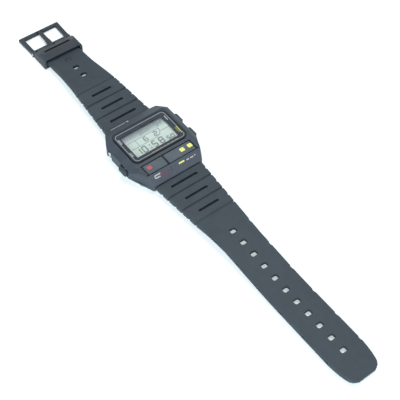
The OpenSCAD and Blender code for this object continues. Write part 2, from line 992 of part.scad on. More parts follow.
function thickness_at(s) =
  segment_thickness + (strap_thickness - segment_thickness) * smooth((s - last_groove - 0.5) / 5);

// Height of the top face: the long strap sinks towards the table, the short one arches to the buckle.
function long_top(s) = 5.3 + 0.2 * smooth((s - 19) / 20) - 2.3 * smooth((s - 52) / 40);
function short_top(s) =
  5.5 + 0.9 * smooth((s - 19) / 24) - 2.4 * smooth((s - arch_end) / (pin_y - 7.2 - arch_end));

// One cross section with broken edges: s, loss of half width, loss of height.
function strap_ring(s, dw, dz, top, way) =
  let (
    w = strap_half(s) - dw,
    zt = top - dz,
    zb = top - thickness_at(s),
    half = [[w - 0.7, zt], [w, zt - 0.55], [w, zb + 0.5], [w - 0.5, zb]],
    ring = concat(half, [for (i = [3:-1:0]) [-half[i][0], half[i][1]]])
  )
  way > 0
    ? [for (p = ring) [p[0], s, p[1]]]
    : [for (i = [7:-1:0]) [ring[i][0], -s, ring[i][1]]];

// Stations [s, loss of half width, loss of height] of the segmented zone: a shallow scallop beside
// each slot, a deeper one that runs on as a groove between two segments. The last groove is shallow.
segment_stations = concat(
  [[strap_start, 0.3, 0.2], [strap_start + 0.4, 0, 0]],
  [for (i = [0:5])
    let (
      s = first_slot + i * half_segment,
      grooved = i % 2 == 1,
      run = grooved ? 0.5 : 0.7,
      loss = grooved ? 0.5 : 0.35,
      deep = grooved ? groove_depth * (i == 5 ? 0.6 : 1) : 0
    )
    each [[s - run, 0, 0], [s - 0.3, loss, deep], [s + 0.3, loss, deep], [s + run, 0, 0]]]
);

// Stations of the rounded tip, s counted back from the end.
tip_stations = [
  [11.9, 0, 0], [8.9, 0.25, 0], [6.0, 0.65, 0], [3.3, 1.25, 0], [2.0, 1.75, 0.05],
  [1.0, 2.55, 0.15], [0.3, 3.75, 0.35], [0, 4.45, 0.5]
];

module strap_root(end) {
  // barrel that turns on the spring bar, and the neck to the first segment
  prism_x(tongue_half)
    translate([end * bar_y, bar_z])
      circle(r = barrel_radius);
  translate([-tongue_half, end > 0 ? bar_y : -strap_start - 0.6, 2.6])
    cube([2 * tongue_half, strap_start + 0.6 - bar_y, 2.2]);
}

module strap_cuts(end, top_at) {
  along_x()
    translate([-bar_z, end * bar_y, -20])
      cylinder(r = tube_radius + running_fit, h = 40);
  // blind slot across each segment, shorter towards the end
  for (i = [0:2]) {
    translate([0, end * (first_slot + i * segment_pitch), top_at[i] - slot_depth])
      linear_extrude(4)
        offset(r = 0.4, $fn = 16)
          square([2 * slot_halves[i] - 0.8, 0.4], center = true);
  }
}

// Plan of a buckle or adjusting hole, made smaller by the gap for the stud that fits in it.
module strap_hole(gap) {
  offset(r = 0.7 - gap, $fn = 24)
    square([1.6, 0.9], center = true);
}

module strap_long() {
  color(strap_colour)
    difference() {
      union() {
        loft([for (st = concat(
            segment_stations,
            [for (s = [last_groove + 3.2:5.0:long_strap_reach - tip_stations[0][0] - 2]) [s, 0, 0]],
            [for (st = tip_stations) [long_strap_reach - st[0], st[1], st[2]]]
          ))
          strap_ring(st[0], st[1], st[2], long_top(st[0]), -1)]);
        strap_root(-1);
      }
      strap_cuts(-1, [for (i = [0:2]) long_top(first_slot + i * segment_pitch)]);
      for (k = [0:hole_count - 1]) {
        s = first_hole + k * hole_pitch;
        translate([0, -s, -over])
          linear_extrude(9)
            strap_hole(0);
        // finger nick in the upper edges beside every second hole
        if (k % 2 == 0)
          for (side = [-1, 1])
            translate([side * (strap_half(s) + 0.9), -s, long_top(s) - 1.1])
              cylinder(r = 1.4, h = 2);
      }
    }
}

module strap_short() {
  color(strap_colour)
    difference() {
      union() {
        loft([for (st = concat(
            segment_stations,
            [for (s = [last_groove + 3.2:4.0:short_strap_reach - 2.5]) [s, 0, 0]],
            [[short_strap_reach - 1.5, 0, 0], [short_strap_reach, 1.5, 0.3]]
          ))
          strap_ring(st[0], st[1], st[2], short_top(st[0]), 1)]);
        strap_root(1);
      }
      strap_cuts(1, [for (i = [0:2]) short_top(first_slot + i * segment_pitch)]);
      // adjusting holes, the stud of the buckle block sits in the last one
      for (s = short_holes)
        translate([0, s, -over])
          linear_extrude(9)
            strap_hole(0);
    }
}

// Buckle

module block_side() {
  // roof rises from the hinge to the mouth
  polygon([
    [block_start, 0.9], [block_start + 0.8, 0.45], [block_start + 3, 0], [block_wide_end, 0],
    [block_wide_end, 3.6],
    [pin_y - 3.7, 4.9], [pin_y - 6.2, 6.0], [pin_y - 7.8, block_top],
    [block_start + 0.5, block_top], [block_start, block_top - 0.4]
  ]);
}

module block_front() {
  w = frame_half - 0.1;
  polygon([
    [w - 0.7, 0], [w, 0.7], [w, 4.6], [w - 0.5, 5.7], [w - 1.5, block_top],
    [1.5 - w, block_top], [0.5 - w, 5.7], [-w, 4.6], [-w, 0.7], [0.7 - w, 0]
  ]);
}

module buckle_block() {
  color(case_colour)
    difference() {
      union() {
        intersection() {
          prism_x(frame_half)
            block_side();
          prism_y(block_start - 1, pin_y + 4)
            block_front();
        }
        // hinge end between the rails
        prism_x(knuckle_half)
          union() {
            translate([pin_y, pin_z])
              circle(r = knuckle_radius);
            polygon([
              [block_wide_end - 0.5, 0], [pin_y, pin_z - knuckle_radius],
              [pin_y, pin_z + knuckle_radius], [block_wide_end - 0.5, 3.7]
            ]);
          }
      }
      // tunnel for the end of the short strap, open towards the case
      translate([-strap_end_half - tunnel_gap, block_start - 1, tunnel_floor])
        cube([
          2 * (strap_end_half + tunnel_gap), tunnel_end - block_start + 1,
          tunnel_ceiling - tunnel_floor
        ]);
      // wide mouth above the strap
      prism_x(strap_end_half + tunnel_gap)
        polygon([
          [block_start - 1, tunnel_floor], [pin_y - 6.7, tunnel_floor], [pin_y - 6.7, tunnel_ceiling],
          [pin_y - 8.7, 5.5], [block_start - 1, 5.5]
        ]);
      // slot through the roof into the tunnel
      translate([0, slot_y + 0.7, tunnel_floor + 1])
        linear_extrude(5)
          offset(r = 0.5, $fn = 16)
            square([12.8, 0.4], center = true);
      // slot for the eye of the tongue, and the pin bore
      translate([-tongue_width / 2 - tongue_gap, pin_y - knuckle_radius - 0.5, -over])
        cube([tongue_width + 2 * tongue_gap, 5, 8]);
      along_x()
        translate([-pin_z, pin_y, -20])
          cylinder(r = pin_radius, h = 40);
    }
  // lip under the strap, with the stud that fills one of its holes
  color(case_colour) {
    prism_x(3.6)
      polygon([
        [block_start + 0.5, tunnel_floor - 0.4], [block_start + 0.5, tunnel_floor],
        [block_start - 1.0, lip_top - 0.1], [stud_y - 1.6, lip_top],
        [stud_y - 2.2, lip_top - 0.5], [stud_y - 1.6, lip_top - 1.2]
      ]);
    translate([0, stud_y, lip_top - 0.5])
      linear_extrude(stud_top - lip_top + 0.5)
        strap_hole(2 * seat_gap);
  }
}

module buckle_pin() {
  color(steel_colour)
    translate([0, pin_y, pin_z])
      along_x()
        rotate_extrude()
          polygon([
            [0, -pin_half], [pin_radius - 0.2, -pin_half], [pin_radius, 0.2 - pin_half],
            [pin_radius, pin_half - 0.2], [pin_radius - 0.2, pin_half], [0, pin_half]
          ]);
}

module buckle_frame() {
  inner = frame_half - rail_width;
  color(case_colour)
    difference() {
      intersection() {
        // outline with one open window
        linear_extrude(frame_top + 2)
          difference() {
            offset(r = 0.6)
              offset(delta = -0.6)
                polygon([
                  [-frame_half, pin_y - 4], [frame_half, pin_y - 4], [frame_half, pin_y + 2],
                  [frame_half + 0.3, end_y], [-frame_half - 0.3, end_y], [-frame_half, pin_y + 2]
                ]);
            offset(r = 0.5, $fn = 24)
              offset(delta = -0.5)
                polygon([
                  [-inner, pin_y - 5], [inner, pin_y - 5],
                  [inner + 0.1, end_y - end_bar], [-inner - 0.1, end_y - end_bar]
                ]);
          }
        // knuckles round the pin, flat rails and an end bar with broken edges
        prism_x(12)
          union() {
            translate([pin_y, pin_z])
              circle(r = knuckle_radius);
            polygon([
              [pin_y, 0.15], [pin_y + 2.5, frame_floor], [end_y - 0.3, frame_floor],
              [end_y, frame_floor + 0.3], [end_y, frame_top - 0.5], [end_y - 0.6, frame_top],
              [pin_y + 2.5, frame_top], [pin_y, pin_z + knuckle_radius - 0.1]
            ]);
          }
      }
      // notch that takes the tip of the tongue
      translate([-tongue_width / 2 - tongue_gap, end_y - end_bar - 1, notch_floor])
        cube([tongue_width + 2 * tongue_gap, 2.1, 3]);
      along_x()
        translate([-pin_z, pin_y, -20])
          cylinder(r = pin_radius + running_fit, h = 40);
    }
}

module buckle_tongue() {
  half = tongue_width / 2;
  tip_y = end_y - end_bar + 0.8;
  color(case_colour)
    difference() {
      intersection() {
        // widens towards the pin
        linear_extrude(6)
          polygon([
            [-half, pin_y - 2], [half, pin_y - 2], [half, pin_y + 2.2], [half - 0.25, pin_y + 4.5],
            [half - 0.25, tip_y - 0.3], [half - 0.65, tip_y], [0.65 - half, tip_y],
            [0.25 - half, tip_y - 0.3], [0.25 - half, pin_y + 4.5], [-half, pin_y + 2.2]
          ]);
        prism_x(5)
          union() {
            translate([pin_y, pin_z])
              circle(r = knuckle_radius);
            polygon([
              [pin_y, 0.4], [pin_y + 3, 1.3], [tip_y - 2, notch_floor + tongue_gap],
              [tip_y, notch_floor + tongue_gap], [tip_y, 2.5], [tip_y - 1.6, 2.8],
              [pin_y + 2.5, 2.9], [pin_y, 2.65]
            ]);
          }
      }
      along_x()
        translate([-pin_z, pin_y, -20])
          cylinder(r = pin_radius + running_fit, h = 40);
    }
}

// Output, one line for each separate piece

case_body();
crystal();
dial_mask();
lcd_glass();
lcd_reflector();
zebra_strips();
module_frame();
circuit_board();
chip_cap();
quartz_can();
lamp();
battery();
battery_clip();
spacer_frame();
buzzer_disc();
buzzer_element();
buzzer_spring();
switch_contacts();
board_screws();
back_gasket();
case_back();
back_screws();
spring_bar_short();
spring_bar_long();
button_seals();
left_key();
right_key();
left_key_springs();
right_key_springs();
left_key_clips();
right_key_clips();
upper_right_button();
lower_right_button();
lower_left_button();
adjust_button();
upper_right_spring();
lower_right_spring();
lower_left_spring();
adjust_spring();
upper_right_clip();
lower_right_clip();
lower_left_clip();
adjust_clip();
strap_short();
strap_long();
buckle_block();
buckle_pin();
buckle_frame();
buckle_tongue();
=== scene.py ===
# %% [markdown]
# # A resin digital watch, laid open on a table
#
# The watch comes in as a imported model: every separate piece, in its place, with
# its joints. This lesson adds what the eye reads as real: softened edges, moulded
# and printed surfaces, glass, the lit segments of the display, and studio light.

# %% Load the frame
import json
import math

import bpy
from mathutils import Matrix, Vector

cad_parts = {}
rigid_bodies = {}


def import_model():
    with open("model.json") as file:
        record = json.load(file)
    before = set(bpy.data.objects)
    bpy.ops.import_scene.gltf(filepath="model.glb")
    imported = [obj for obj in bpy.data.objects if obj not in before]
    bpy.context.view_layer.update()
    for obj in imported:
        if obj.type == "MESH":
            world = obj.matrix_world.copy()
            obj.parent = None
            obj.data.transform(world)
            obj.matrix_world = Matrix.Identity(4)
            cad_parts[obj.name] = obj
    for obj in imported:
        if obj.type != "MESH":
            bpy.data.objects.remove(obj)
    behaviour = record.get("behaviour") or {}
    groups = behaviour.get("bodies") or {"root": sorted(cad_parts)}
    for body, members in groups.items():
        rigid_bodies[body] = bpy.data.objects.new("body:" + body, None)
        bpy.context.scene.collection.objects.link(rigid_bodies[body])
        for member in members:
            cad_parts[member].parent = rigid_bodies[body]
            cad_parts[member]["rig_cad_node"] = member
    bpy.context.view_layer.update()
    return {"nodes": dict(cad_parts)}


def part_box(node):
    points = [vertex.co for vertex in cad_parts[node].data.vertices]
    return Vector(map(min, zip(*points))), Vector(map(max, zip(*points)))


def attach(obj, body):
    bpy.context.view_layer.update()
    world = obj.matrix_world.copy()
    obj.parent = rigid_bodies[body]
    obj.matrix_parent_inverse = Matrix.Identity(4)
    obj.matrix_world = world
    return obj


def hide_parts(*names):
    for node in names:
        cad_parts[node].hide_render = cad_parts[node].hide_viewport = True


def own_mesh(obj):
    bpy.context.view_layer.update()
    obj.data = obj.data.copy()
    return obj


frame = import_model()
nodes = frame["nodes"]
MM = 0.001
print("CAD nodes:", len(nodes))

# %% [markdown]
# ## The camera
#
# The photograph was taken from above the 8 o'clock side with a long lens, so the
# straps hardly shrink with distance. A camera is a position, a direction and a
# focal length. Here they come from a fit to points picked in the photograph, so
# they are written as an orbit: a target, an azimuth, an elevation, a distance and
# a small roll. That reads better than a bare matrix, and each number can be tried.

# %% Place the camera
ORBIT = {"azimuth": -39.083, "elevation": 52.413, "distance": 426.32, "roll": 2.052}
ORBIT_TARGET = Vector((1.242, -31.547, 0.0)) * MM
FOCAL_PIXELS = 1022.826
PICTURE_WIDTH = 400

azimuth = math.radians(ORBIT["azimuth"])
elevation = math.radians(ORBIT["elevation"])
roll = math.radians(ORBIT["roll"])
back = Vector((
    math.sin(azimuth) * math.cos(elevation),
    -math.cos(azimuth) * math.cos(elevation),
    math.sin(elevation),
))
level_right = (-back).cross(Vector((0, 0, 1))).normalized()
level_up = level_right.cross(-back)
right = level_right * math.cos(roll) + level_up * math.sin(roll)
up = level_up * math.cos(roll) - level_right * math.sin(roll)

camera_data = bpy.data.cameras.new("product_camera")
camera_data.sensor_width = 36.0
camera_data.lens = FOCAL_PIXELS / PICTURE_WIDTH * camera_data.sensor_width
camera_data.clip_start = 10 * MM
camera = bpy.data.objects.new("product_camera", camera_data)
bpy.context.scene.collection.objects.link(camera)
camera.matrix_world = Matrix.Translation(
    ORBIT_TARGET + back * ORBIT["distance"] * MM
) @ Matrix((right, up, back)).transposed().to_4x4()
bpy.context.scene.camera = camera
print("focal length in mm:", round(camera_data.lens, 2))

# %% [markdown]
# ## Small tools for making materials
#
# Colours are easiest to pick as sRGB hex values, but shaders work in linear light,
# so one function converts them. A second one adds a shader node, sets its values
# and links its inputs. Every material below is built from these two.

# %% Colour and node helpers
def linear(hex_colour):
    """Turns '#rrggbb' in sRGB into a linear RGBA tuple."""
    channels = [int(hex_colour[i:i + 2], 16) / 255 for i in (1, 3, 5)]
    return (*[c / 12.92 if c <= 0.04045 else ((c + 0.055) / 1.055) ** 2.4 for c in channels], 1.0)


def add_node(material, kind, settings=None, inputs=None):
    """Adds one shader node. Inputs take a plain value or another node's output."""
    tree = material.node_tree
    node = tree.nodes.new(kind)
    for name, value in (settings or {}).items():
        setattr(node, name, value)
    for name, value in (inputs or {}).items():
        socket = node.inputs[name]
        if isinstance(value, bpy.types.NodeSocket):
            tree.links.new(value, socket)
        else:
            socket.default_value = value
    return node


def new_material(name):
    """An empty node material with an output node, and that output."""
    material = bpy.data.materials.new(name)
    material.use_nodes = True
    material.node_tree.nodes.clear()
    return material, add_node(material, "ShaderNodeOutputMaterial")


def per_mm(size_mm):
    """Noise scale that makes features of about this size on Object coordinates."""
    return 1.0 / (size_mm * MM)


def ramp(material, factor, stops):
    """A colour ramp through (position, hex colour) stops."""
    node = add_node(material, "ShaderNodeValToRGB", inputs={"Fac": factor})
    while len(node.color_ramp.elements) < len(stops):
        node.color_ramp.elements.new(0.5)
    for element, (position, colour) in zip(node.color_ramp.elements, stops):
        element.position = position
        element.color = linear(colour)
    return node.outputs["Color"]


# %% [markdown]
# ## A white ground that doesn't light the watch
#
# The watch lies on a seamless white table in a light tent: the picture has a pure
# white ground with one narrow, bluish shadow on the 9 o'clock side. The table looks
# white because it adds light for the camera, and for what metal and glass mirror,
# but not for the watch. So the shadow stays and the greys render as written.

# %% What only the eye and mirrors see
def seen_directly(material):
    """1 for rays from the camera and for what metal and glass show, else 0."""
    rays = add_node(material, "ShaderNodeLightPath")
    mirrored = add_node(material, "ShaderNodeMath", {"operation": "MAXIMUM"}, {
        0: rays.outputs["Is Glossy Ray"], 1: rays.outputs["Is Transmission Ray"]})
    return add_node(material, "ShaderNodeMath", {"operation": "MAXIMUM"}, {
        0: rays.outputs["Is Camera Ray"], 1: mirrored.outputs[0]}).outputs[0]


# %% [markdown]
# ## The table
#
# The table is one plane, so large that its edge is never seen. Sprayed melamine is
# matt, so a Diffuse shader is enough for it. The lift is an Emission that is added
# only for the rays named above.

# %% Build the table
TABLE_SIZE = 4.0
TABLE_LIFT = 0.55

bpy.ops.mesh.primitive_plane_add(size=TABLE_SIZE, location=(0, 0, 0))
table = bpy.context.active_object
table.name = "table_top"

# sprayed melamine: even and matt, a trace of cool grey
table_paint, table_out = new_material("Matt white photo table, sprayed melamine")
paper = add_node(table_paint, "ShaderNodeBsdfDiffuse", inputs={
    "Color": linear("#edf4f5"), "Roughness": 0.6})
lift = add_node(table_paint, "ShaderNodeEmission", inputs={
    "Color": linear("#eefafc"), "Strength": TABLE_LIFT})
nothing = add_node(table_paint, "ShaderNodeEmission", inputs={"Strength": 0.0})
lift_if_seen = add_node(table_paint, "ShaderNodeMixShader", inputs={
    "Fac": seen_directly(table_paint), 1: nothing.outputs[0], 2: lift.outputs[0]})
sum_up = add_node(table_paint, "ShaderNodeAddShader", inputs={
    0: paper.outputs[0], 1: lift_if_seen.outputs[0]})
table_paint.node_tree.links.new(sum_up.outputs[0], table_out.inputs["Surface"])
table.data.materials.append(table_paint)
print("table added, with a lift of", TABLE_LIFT)

# %% [markdown]
# ## Two lamps
#
# A large lamp hangs almost overhead, a little to the right, because a high lamp
# keeps a shadow narrow. It stays out of the direction in which level faces would
# mirror it to the camera. A card low on the left fills the flanks. Both point at
# about the middle of the laid-out watch.

# %% Hang the lamps
WATCH_MIDDLE = (0, -20, 0)


def soft_lamp(name, place_mm, size_mm, watts, colour):
    """A square soft box that hangs at a place and points at the watch."""
    data = bpy.data.lights.new(name, "AREA")
    data.shape = "SQUARE"
    data.size = size_mm * MM
    data.energy = watts
    data.color = linear(colour)[:3]
    lamp = bpy.data.objects.new(name, data)
    bpy.context.scene.collection.objects.link(lamp)
    place, aim = Vector(place_mm) * MM, Vector(WATCH_MIDDLE) * MM
    lamp.location = place
    lamp.rotation_mode = "QUATERNION"
    lamp.rotation_quaternion = (aim - place).to_track_quat("-Z", "Y")
    print(f"{name}: {(aim - place).length / MM:.0f} mm away, {watts} W")


soft_lamp("key_soft_box", (110, 40, 800), 290, 3.25, "#fffcf8")
soft_lamp("fill_card", (-500, -420, 200), 420, 3.8, "#f4f8ff")

# %% [markdown]
# ## The tent
#
# A light tent is white cloth on all sides of the table. A world colour stands in for
# it and needs no mesh. Only the camera and mirrors see it as pure white: as a light
# it is much weaker, or the dark resin would turn grey.

# %% Put up the tent
TENT_LIGHT = 0.30

world = bpy.data.worlds.new("light_tent")
world.use_nodes = True
bpy.context.scene.world = world
world.node_tree.nodes.clear()
tent_out = add_node(world, "ShaderNodeOutputWorld")
tent_light = add_node(world, "ShaderNodeBackground", inputs={
    "Color": linear("#eef4fb"), "Strength": TENT_LIGHT})
tent_white = add_node(world, "ShaderNodeBackground", inputs={
    "Color": linear("#ffffff"), "Strength": 1.0})
tent_mix = add_node(world, "ShaderNodeMixShader", inputs={
    "Fac": seen_directly(world), 1: tent_light.outputs[0], 2: tent_white.outputs[0]})
world.node_tree.links.new(tent_mix.outputs[0], tent_out.inputs["Surface"])
bpy.context.scene.view_settings.view_transform = "Standard"
print("tent light:", TENT_LIGHT)

# %% [markdown]
# ## Moulded resin
#
# The case, keys and buckle are injection-moulded ABS-like resin from a mould that
# was spark-eroded: matt, with a fine grain that breaks up every highlight. The
# strap is softer polyurethane, a little greener and duller. Both are dark greys
# and not black. A noise in the bump gives the grain, a broader one in the
# roughness gives the uneven sheen that handling leaves, and the mesh's own
# pointiness pales the edges: partly where the grain has rubbed smooth, partly as a
# painted highlight for the light that a round edge catches.

# %% Resin shader
GRAIN_HEIGHT = 0.02 * MM
CLOUD_MM = 5.0
SHEEN_SPAN = (-0.06, 0.07)
# pointiness at which edges start to pale: rubbed smooth, and a painted highlight
EDGE_WEAR_AND_HIGHLIGHT = (0.53, 0.62)
WEAR_AND_HIGHLIGHT_MOST = 0.35


def moulded_resin(name, body_hex, worn_and_highlight_hex, grain_mm, roughness, bump, specular):
    """Resin with a spark-eroded grain, a cloudy sheen, and edges paled where rubbed and as a
    painted highlight.
    """
    material, out = new_material(name)
    place = add_node(material, "ShaderNodeTexCoord").outputs["Object"]
    grain = add_node(material, "ShaderNodeTexNoise", inputs={
        "Vector": place, "Scale": per_mm(grain_mm), "Detail": 3.0, "Roughness": 0.6})
    cloud = add_node(material, "ShaderNodeTexNoise", inputs={
        "Vector": place, "Scale": per_mm(CLOUD_MM), "Detail": 4.0, "Roughness": 0.55})
    tint = ramp(material, cloud.outputs["Fac"], [(0.3, body_hex), (0.75, worn_and_highlight_hex)])
    # partly painted highlight: sharp edges are paled, where rubbed smooth and for the light a
    # round edge catches
    edge = add_node(material, "ShaderNodeNewGeometry").outputs["Pointiness"]
    edge_wear_and_highlight = add_node(material, "ShaderNodeMapRange", inputs={
        "Value": edge, "From Min": EDGE_WEAR_AND_HIGHLIGHT[0], "From Max": EDGE_WEAR_AND_HIGHLIGHT[1],
        "To Min": 0.0, "To Max": WEAR_AND_HIGHLIGHT_MOST})
    pale = add_node(material, "ShaderNodeMixRGB", inputs={
        "Fac": edge_wear_and_highlight.outputs["Result"], "Color1": tint, "Color2": linear(worn_and_highlight_hex)})
    sheen = add_node(material, "ShaderNodeMapRange", inputs={
        "Value": cloud.outputs["Fac"], "From Min": 0.3, "From Max": 0.7,
        "To Min": roughness + SHEEN_SPAN[0], "To Max": roughness + SHEEN_SPAN[1]})
    relief = add_node(material, "ShaderNodeBump", inputs={
        "Strength": bump, "Distance": GRAIN_HEIGHT, "Height": grain.outputs["Fac"]})
    shader = add_node(material, "ShaderNodeBsdfPrincipled", inputs={
        "Base Color": pale.outputs["Color"], "Roughness": sheen.outputs["Result"],
        "Specular IOR Level": specular, "IOR": 1.5, "Normal": relief.outputs["Normal"]})
    material.node_tree.links.new(shader.outputs[0], out.inputs["Surface"])
    return material


# %% [markdown]
# ## The resins of this watch
#
# All are dark, cool greys, and small steps tell them apart. Their roughness and
# grain follow how each mould was finished, and their colours were matched one by
# one to the photograph.

# %% Resins of this watch
# the grain is 0.1 mm on the real mould; drawn at 0.25 to 0.4 mm so that it shows
case_resin = moulded_resin(
    "Spark-grained ABS resin, slate grey", "#353f48", "#444f59",
    grain_mm=0.3, roughness=0.50, bump=0.35, specular=0.3)
# the keys are moulded in a paler grey, from a finer mould
key_resin = moulded_resin(
    "Fine-grained ABS resin of the keys", "#525d66", "#5e6a73",
    grain_mm=0.25, roughness=0.46, bump=0.25, specular=0.3)
# painted shade: the key pockets and the sides of the keys are near black, for the shade that
# falls in the gaps round the keys
pocket_shade_resin = moulded_resin(
    "Unpolished black resin in the key pockets", "#101418", "#181c21",
    grain_mm=0.3, roughness=0.7, bump=0.3, specular=0.15)
# soft polyurethane: a touch greener and duller than the case
strap_resin = moulded_resin(
    "Moulded polyurethane strap", "#39434b", "#444f57",
    grain_mm=0.4, roughness=0.58, bump=0.45, specular=0.25)
# a smoother patch of the mould, so that the printing on it stays sharp; its paler colour is
# painted light, for a slope that is lit more
panel_satin_and_light_resin = moulded_resin(
    "Satin resin of the legend panel, painted paler for light", "#454c57", "#535a64",
    grain_mm=0.25, roughness=0.42, bump=0.2, specular=0.35)
# the buckle came from another mould and is a shade darker than the case
buckle_resin = moulded_resin(
    "Spark-grained ABS resin of the buckle", "#2f373e", "#3d454c",
    grain_mm=0.3, roughness=0.50, bump=0.35, specular=0.3)
print("materials so far:", len(bpy.data.materials))

# %% [markdown]
# ## Softened copies
#
# The CAD pieces have the right form, but their edges are mathematically sharp. A
# moulded edge is always a little round, and that thin round edge is what catches
# the light. So each resin piece that shows is copied: the copy's loose triangles
# are merged, its flat faces are dissolved into single faces, and a narrow Bevel
# rounds the edges. Shading normals are then weighted by face area, so that the big
# faces stay flat and only the small ones round off. The copy then stands in for
# the CAD piece on the same body.

# %% Copy and soften
MERGE_WITHIN = 0.001 * MM
FLAT_WITHIN = math.radians(0.15)
EDGE_FROM = math.radians(28)
SMOOTH_BELOW = math.radians(35)


def clear_selection():
    """Leaves edit mode and deselects everything, because operators act on all of it."""
    if bpy.context.object and bpy.context.object.mode != "OBJECT":
        bpy.ops.object.mode_set(mode="OBJECT")
    bpy.ops.object.select_all(action="DESELECT")


def softened_copy(node, name, body, material, radius_mm, segments=2):
    """A merged copy of a CAD node with round edges, which stands in for the node."""
    clear_selection()
    source = nodes[node]
    source.select_set(True)
    bpy.context.view_layer.objects.active = source
    bpy.ops.object.duplicate()
    piece = bpy.context.active_object
    piece.name = name
    piece.data.name = name
    del piece["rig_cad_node"]
    bpy.ops.object.mode_set(mode="EDIT")
    bpy.ops.mesh.select_all(action="SELECT")
    bpy.ops.mesh.remove_doubles(threshold=MERGE_WITHIN)
    bpy.ops.mesh.dissolve_limited(angle_limit=FLAT_WITHIN)
    bpy.ops.object.mode_set(mode="OBJECT")
    bpy.ops.mesh.customdata_custom_splitnormals_clear()
    edges = piece.modifiers.new("moulded_edges", "BEVEL")
    edges.width = radius_mm * MM
    edges.segments = segments
    edges.limit_method = "ANGLE"
    edges.angle_limit = EDGE_FROM
    edges.use_clamp_overlap = True
    edges.harden_normals = False
    bpy.ops.object.modifier_apply(modifier=edges.name)
    bpy.ops.object.shade_smooth_by_angle(angle=SMOOTH_BELOW)
    flats = piece.modifiers.new("flat_faces_stay_flat", "WEIGHTED_NORMAL")
    flats.mode = "FACE_AREA"
    flats.weight = 90
    flats.keep_sharp = True
    bpy.ops.object.modifier_apply(modifier=flats.name)
    piece.data.materials.clear()
    piece.data.materials.append(material)
    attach(piece, body)
    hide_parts(node)
    print(f"{name}: {len(piece.data.polygons)} faces, edge radius {radius_mm} mm")
    return piece


# %% [markdown]
# ## Pieces of resin
#
# The case, the keys, three side buttons, both strap halves and the buckle are
# copied. A small piece gets a smaller radius than a big one.

# %% Resin pieces
case_shell = softened_copy("case_body", "case_shell", "case", case_resin, 0.15)
key_caps = [
    softened_copy(key, key + "_cap", key, key_resin, 0.12)
    for key in ("left_key", "right_key")
]
for corner in ("upper_right", "lower_right", "lower_left"):
    button = corner + "_button"
    softened_copy(button, corner + "_cap", button, case_resin, 0.1)
softened_copy("strap_short", "short_band", "short_strap", strap_resin, 0.16)
softened_copy("strap_long", "long_band", "long_strap", strap_resin, 0.16)
softened_copy("buckle_block", "keeper_block", "short_strap", buckle_resin, 0.2)
softened_copy("buckle_frame", "buckle_loop", "buckle", buckle_resin, 0.2)
softened_copy("buckle_tongue", "tongue_bar", "tongue", buckle_resin, 0.15)

# %% [markdown]
# ## Two finishes on one moulding, and painted light
#
# A mould is polished in one place and left rough in another, so one piece can have
# two finishes. A test on each face's centre and direction picks where the second
# one goes. Cutting the piece up would leave seams that the real one doesn't have.
# Two of these are painted light: near-black resin in the key pockets and on the
# sides of the keys is painted shade, and the 6 o'clock panel is painted paler where
# its slope is lit more.

# %% Second finishes
POCKET_Z = (7.2, 9.24)
POCKET_Y = (-14.7, -8.6)
POCKET_HALF_WIDTH = 13.3
LEGEND_TOP_Y = -14.8
LEGEND_HALF_WIDTH = 12.6


def finish_where(piece, material, wanted):
    """Gives a second finish to the faces that a test picks by centre in mm and normal."""
    piece.data.materials.append(material)
    slot = len(piece.data.materials) - 1
    chosen = [face for face in piece.data.polygons if wanted(face.center / MM, face.normal)]
    for face in chosen:
        face.material_index = slot
    print(f"{piece.name}: {len(chosen)} faces in {material.name}")


# painted shade: near black on the walls and floor of the key pockets, but on no face that looks
# down
finish_where(case_shell, pocket_shade_resin, lambda c, n: (
    POCKET_Z[0] < c.z < POCKET_Z[1] and POCKET_Y[0] < c.y < POCKET_Y[1]
    and abs(c.x) < POCKET_HALF_WIDTH and n.z > -0.5))
# painted shade: all of a key but its top is near black, for the shade in the gap round it
for cap in key_caps:
    finish_where(cap, pocket_shade_resin, lambda c, n: n.z < 0.5)
# the 45 degree panel under the keys is smoother, and painted paler for the light that falls on it
finish_where(case_shell, panel_satin_and_light_resin, lambda c, n: (
    c.y < LEGEND_TOP_Y and abs(c.x) < LEGEND_HALF_WIDTH and n.y < -0.6 and n.z > 0.6))

# %% [markdown]
# ## The window
#
# The window is clear acrylic. Real refraction is kept, because it is what makes the
# display look sunk under the surface. Light on its way to the display is another
# matter: refracted light is slow and noisy to trace, so shadow rays and diffuse
# rays meet a plain Transparent shader instead. The front mirrors a little less than
# polished acrylic does, or the white tent would veil the display.

# %% Acrylic window
LOWEST_LAYER = 0.05 * MM
MASK_OVERLAP = 0.04 * MM

# nearly colourless, with a sharp but faint mirror image of the tent
acrylic, acrylic_out = new_material("Clear cast acrylic")
clear = add_node(acrylic, "ShaderNodeBsdfPrincipled", inputs={
    "Base Color": linear("#fbfdfd"), "Roughness": 0.03, "IOR": 1.49,
    "Transmission Weight": 1.0, "Specular IOR Level": 0.3})
see_through = add_node(acrylic, "ShaderNodeBsdfTransparent", inputs={
    "Color": linear("#fafcfc")})
acrylic_rays = add_node(acrylic, "ShaderNodeLightPath")
light_passing = add_node(acrylic, "ShaderNodeMath", {"operation": "MAXIMUM"}, {
    0: acrylic_rays.outputs["Is Shadow Ray"], 1: acrylic_rays.outputs["Is Diffuse Ray"]})
acrylic_mix = add_node(acrylic, "ShaderNodeMixShader", inputs={
    "Fac": light_passing.outputs[0], 1: clear.outputs[0], 2: see_through.outputs[0]})
acrylic.node_tree.links.new(acrylic_mix.outputs[0], acrylic_out.inputs["Surface"])
window = softened_copy("crystal", "window_acrylic", "case", acrylic, 0.03)

# the mask is printed on the underside, so its ink sits a hair inside the acrylic
window_low = min(point.co.z for point in window.data.vertices)
for point in window.data.vertices:
    if point.co.z < window_low + LOWEST_LAYER:
        point.co.z -= MASK_OVERLAP

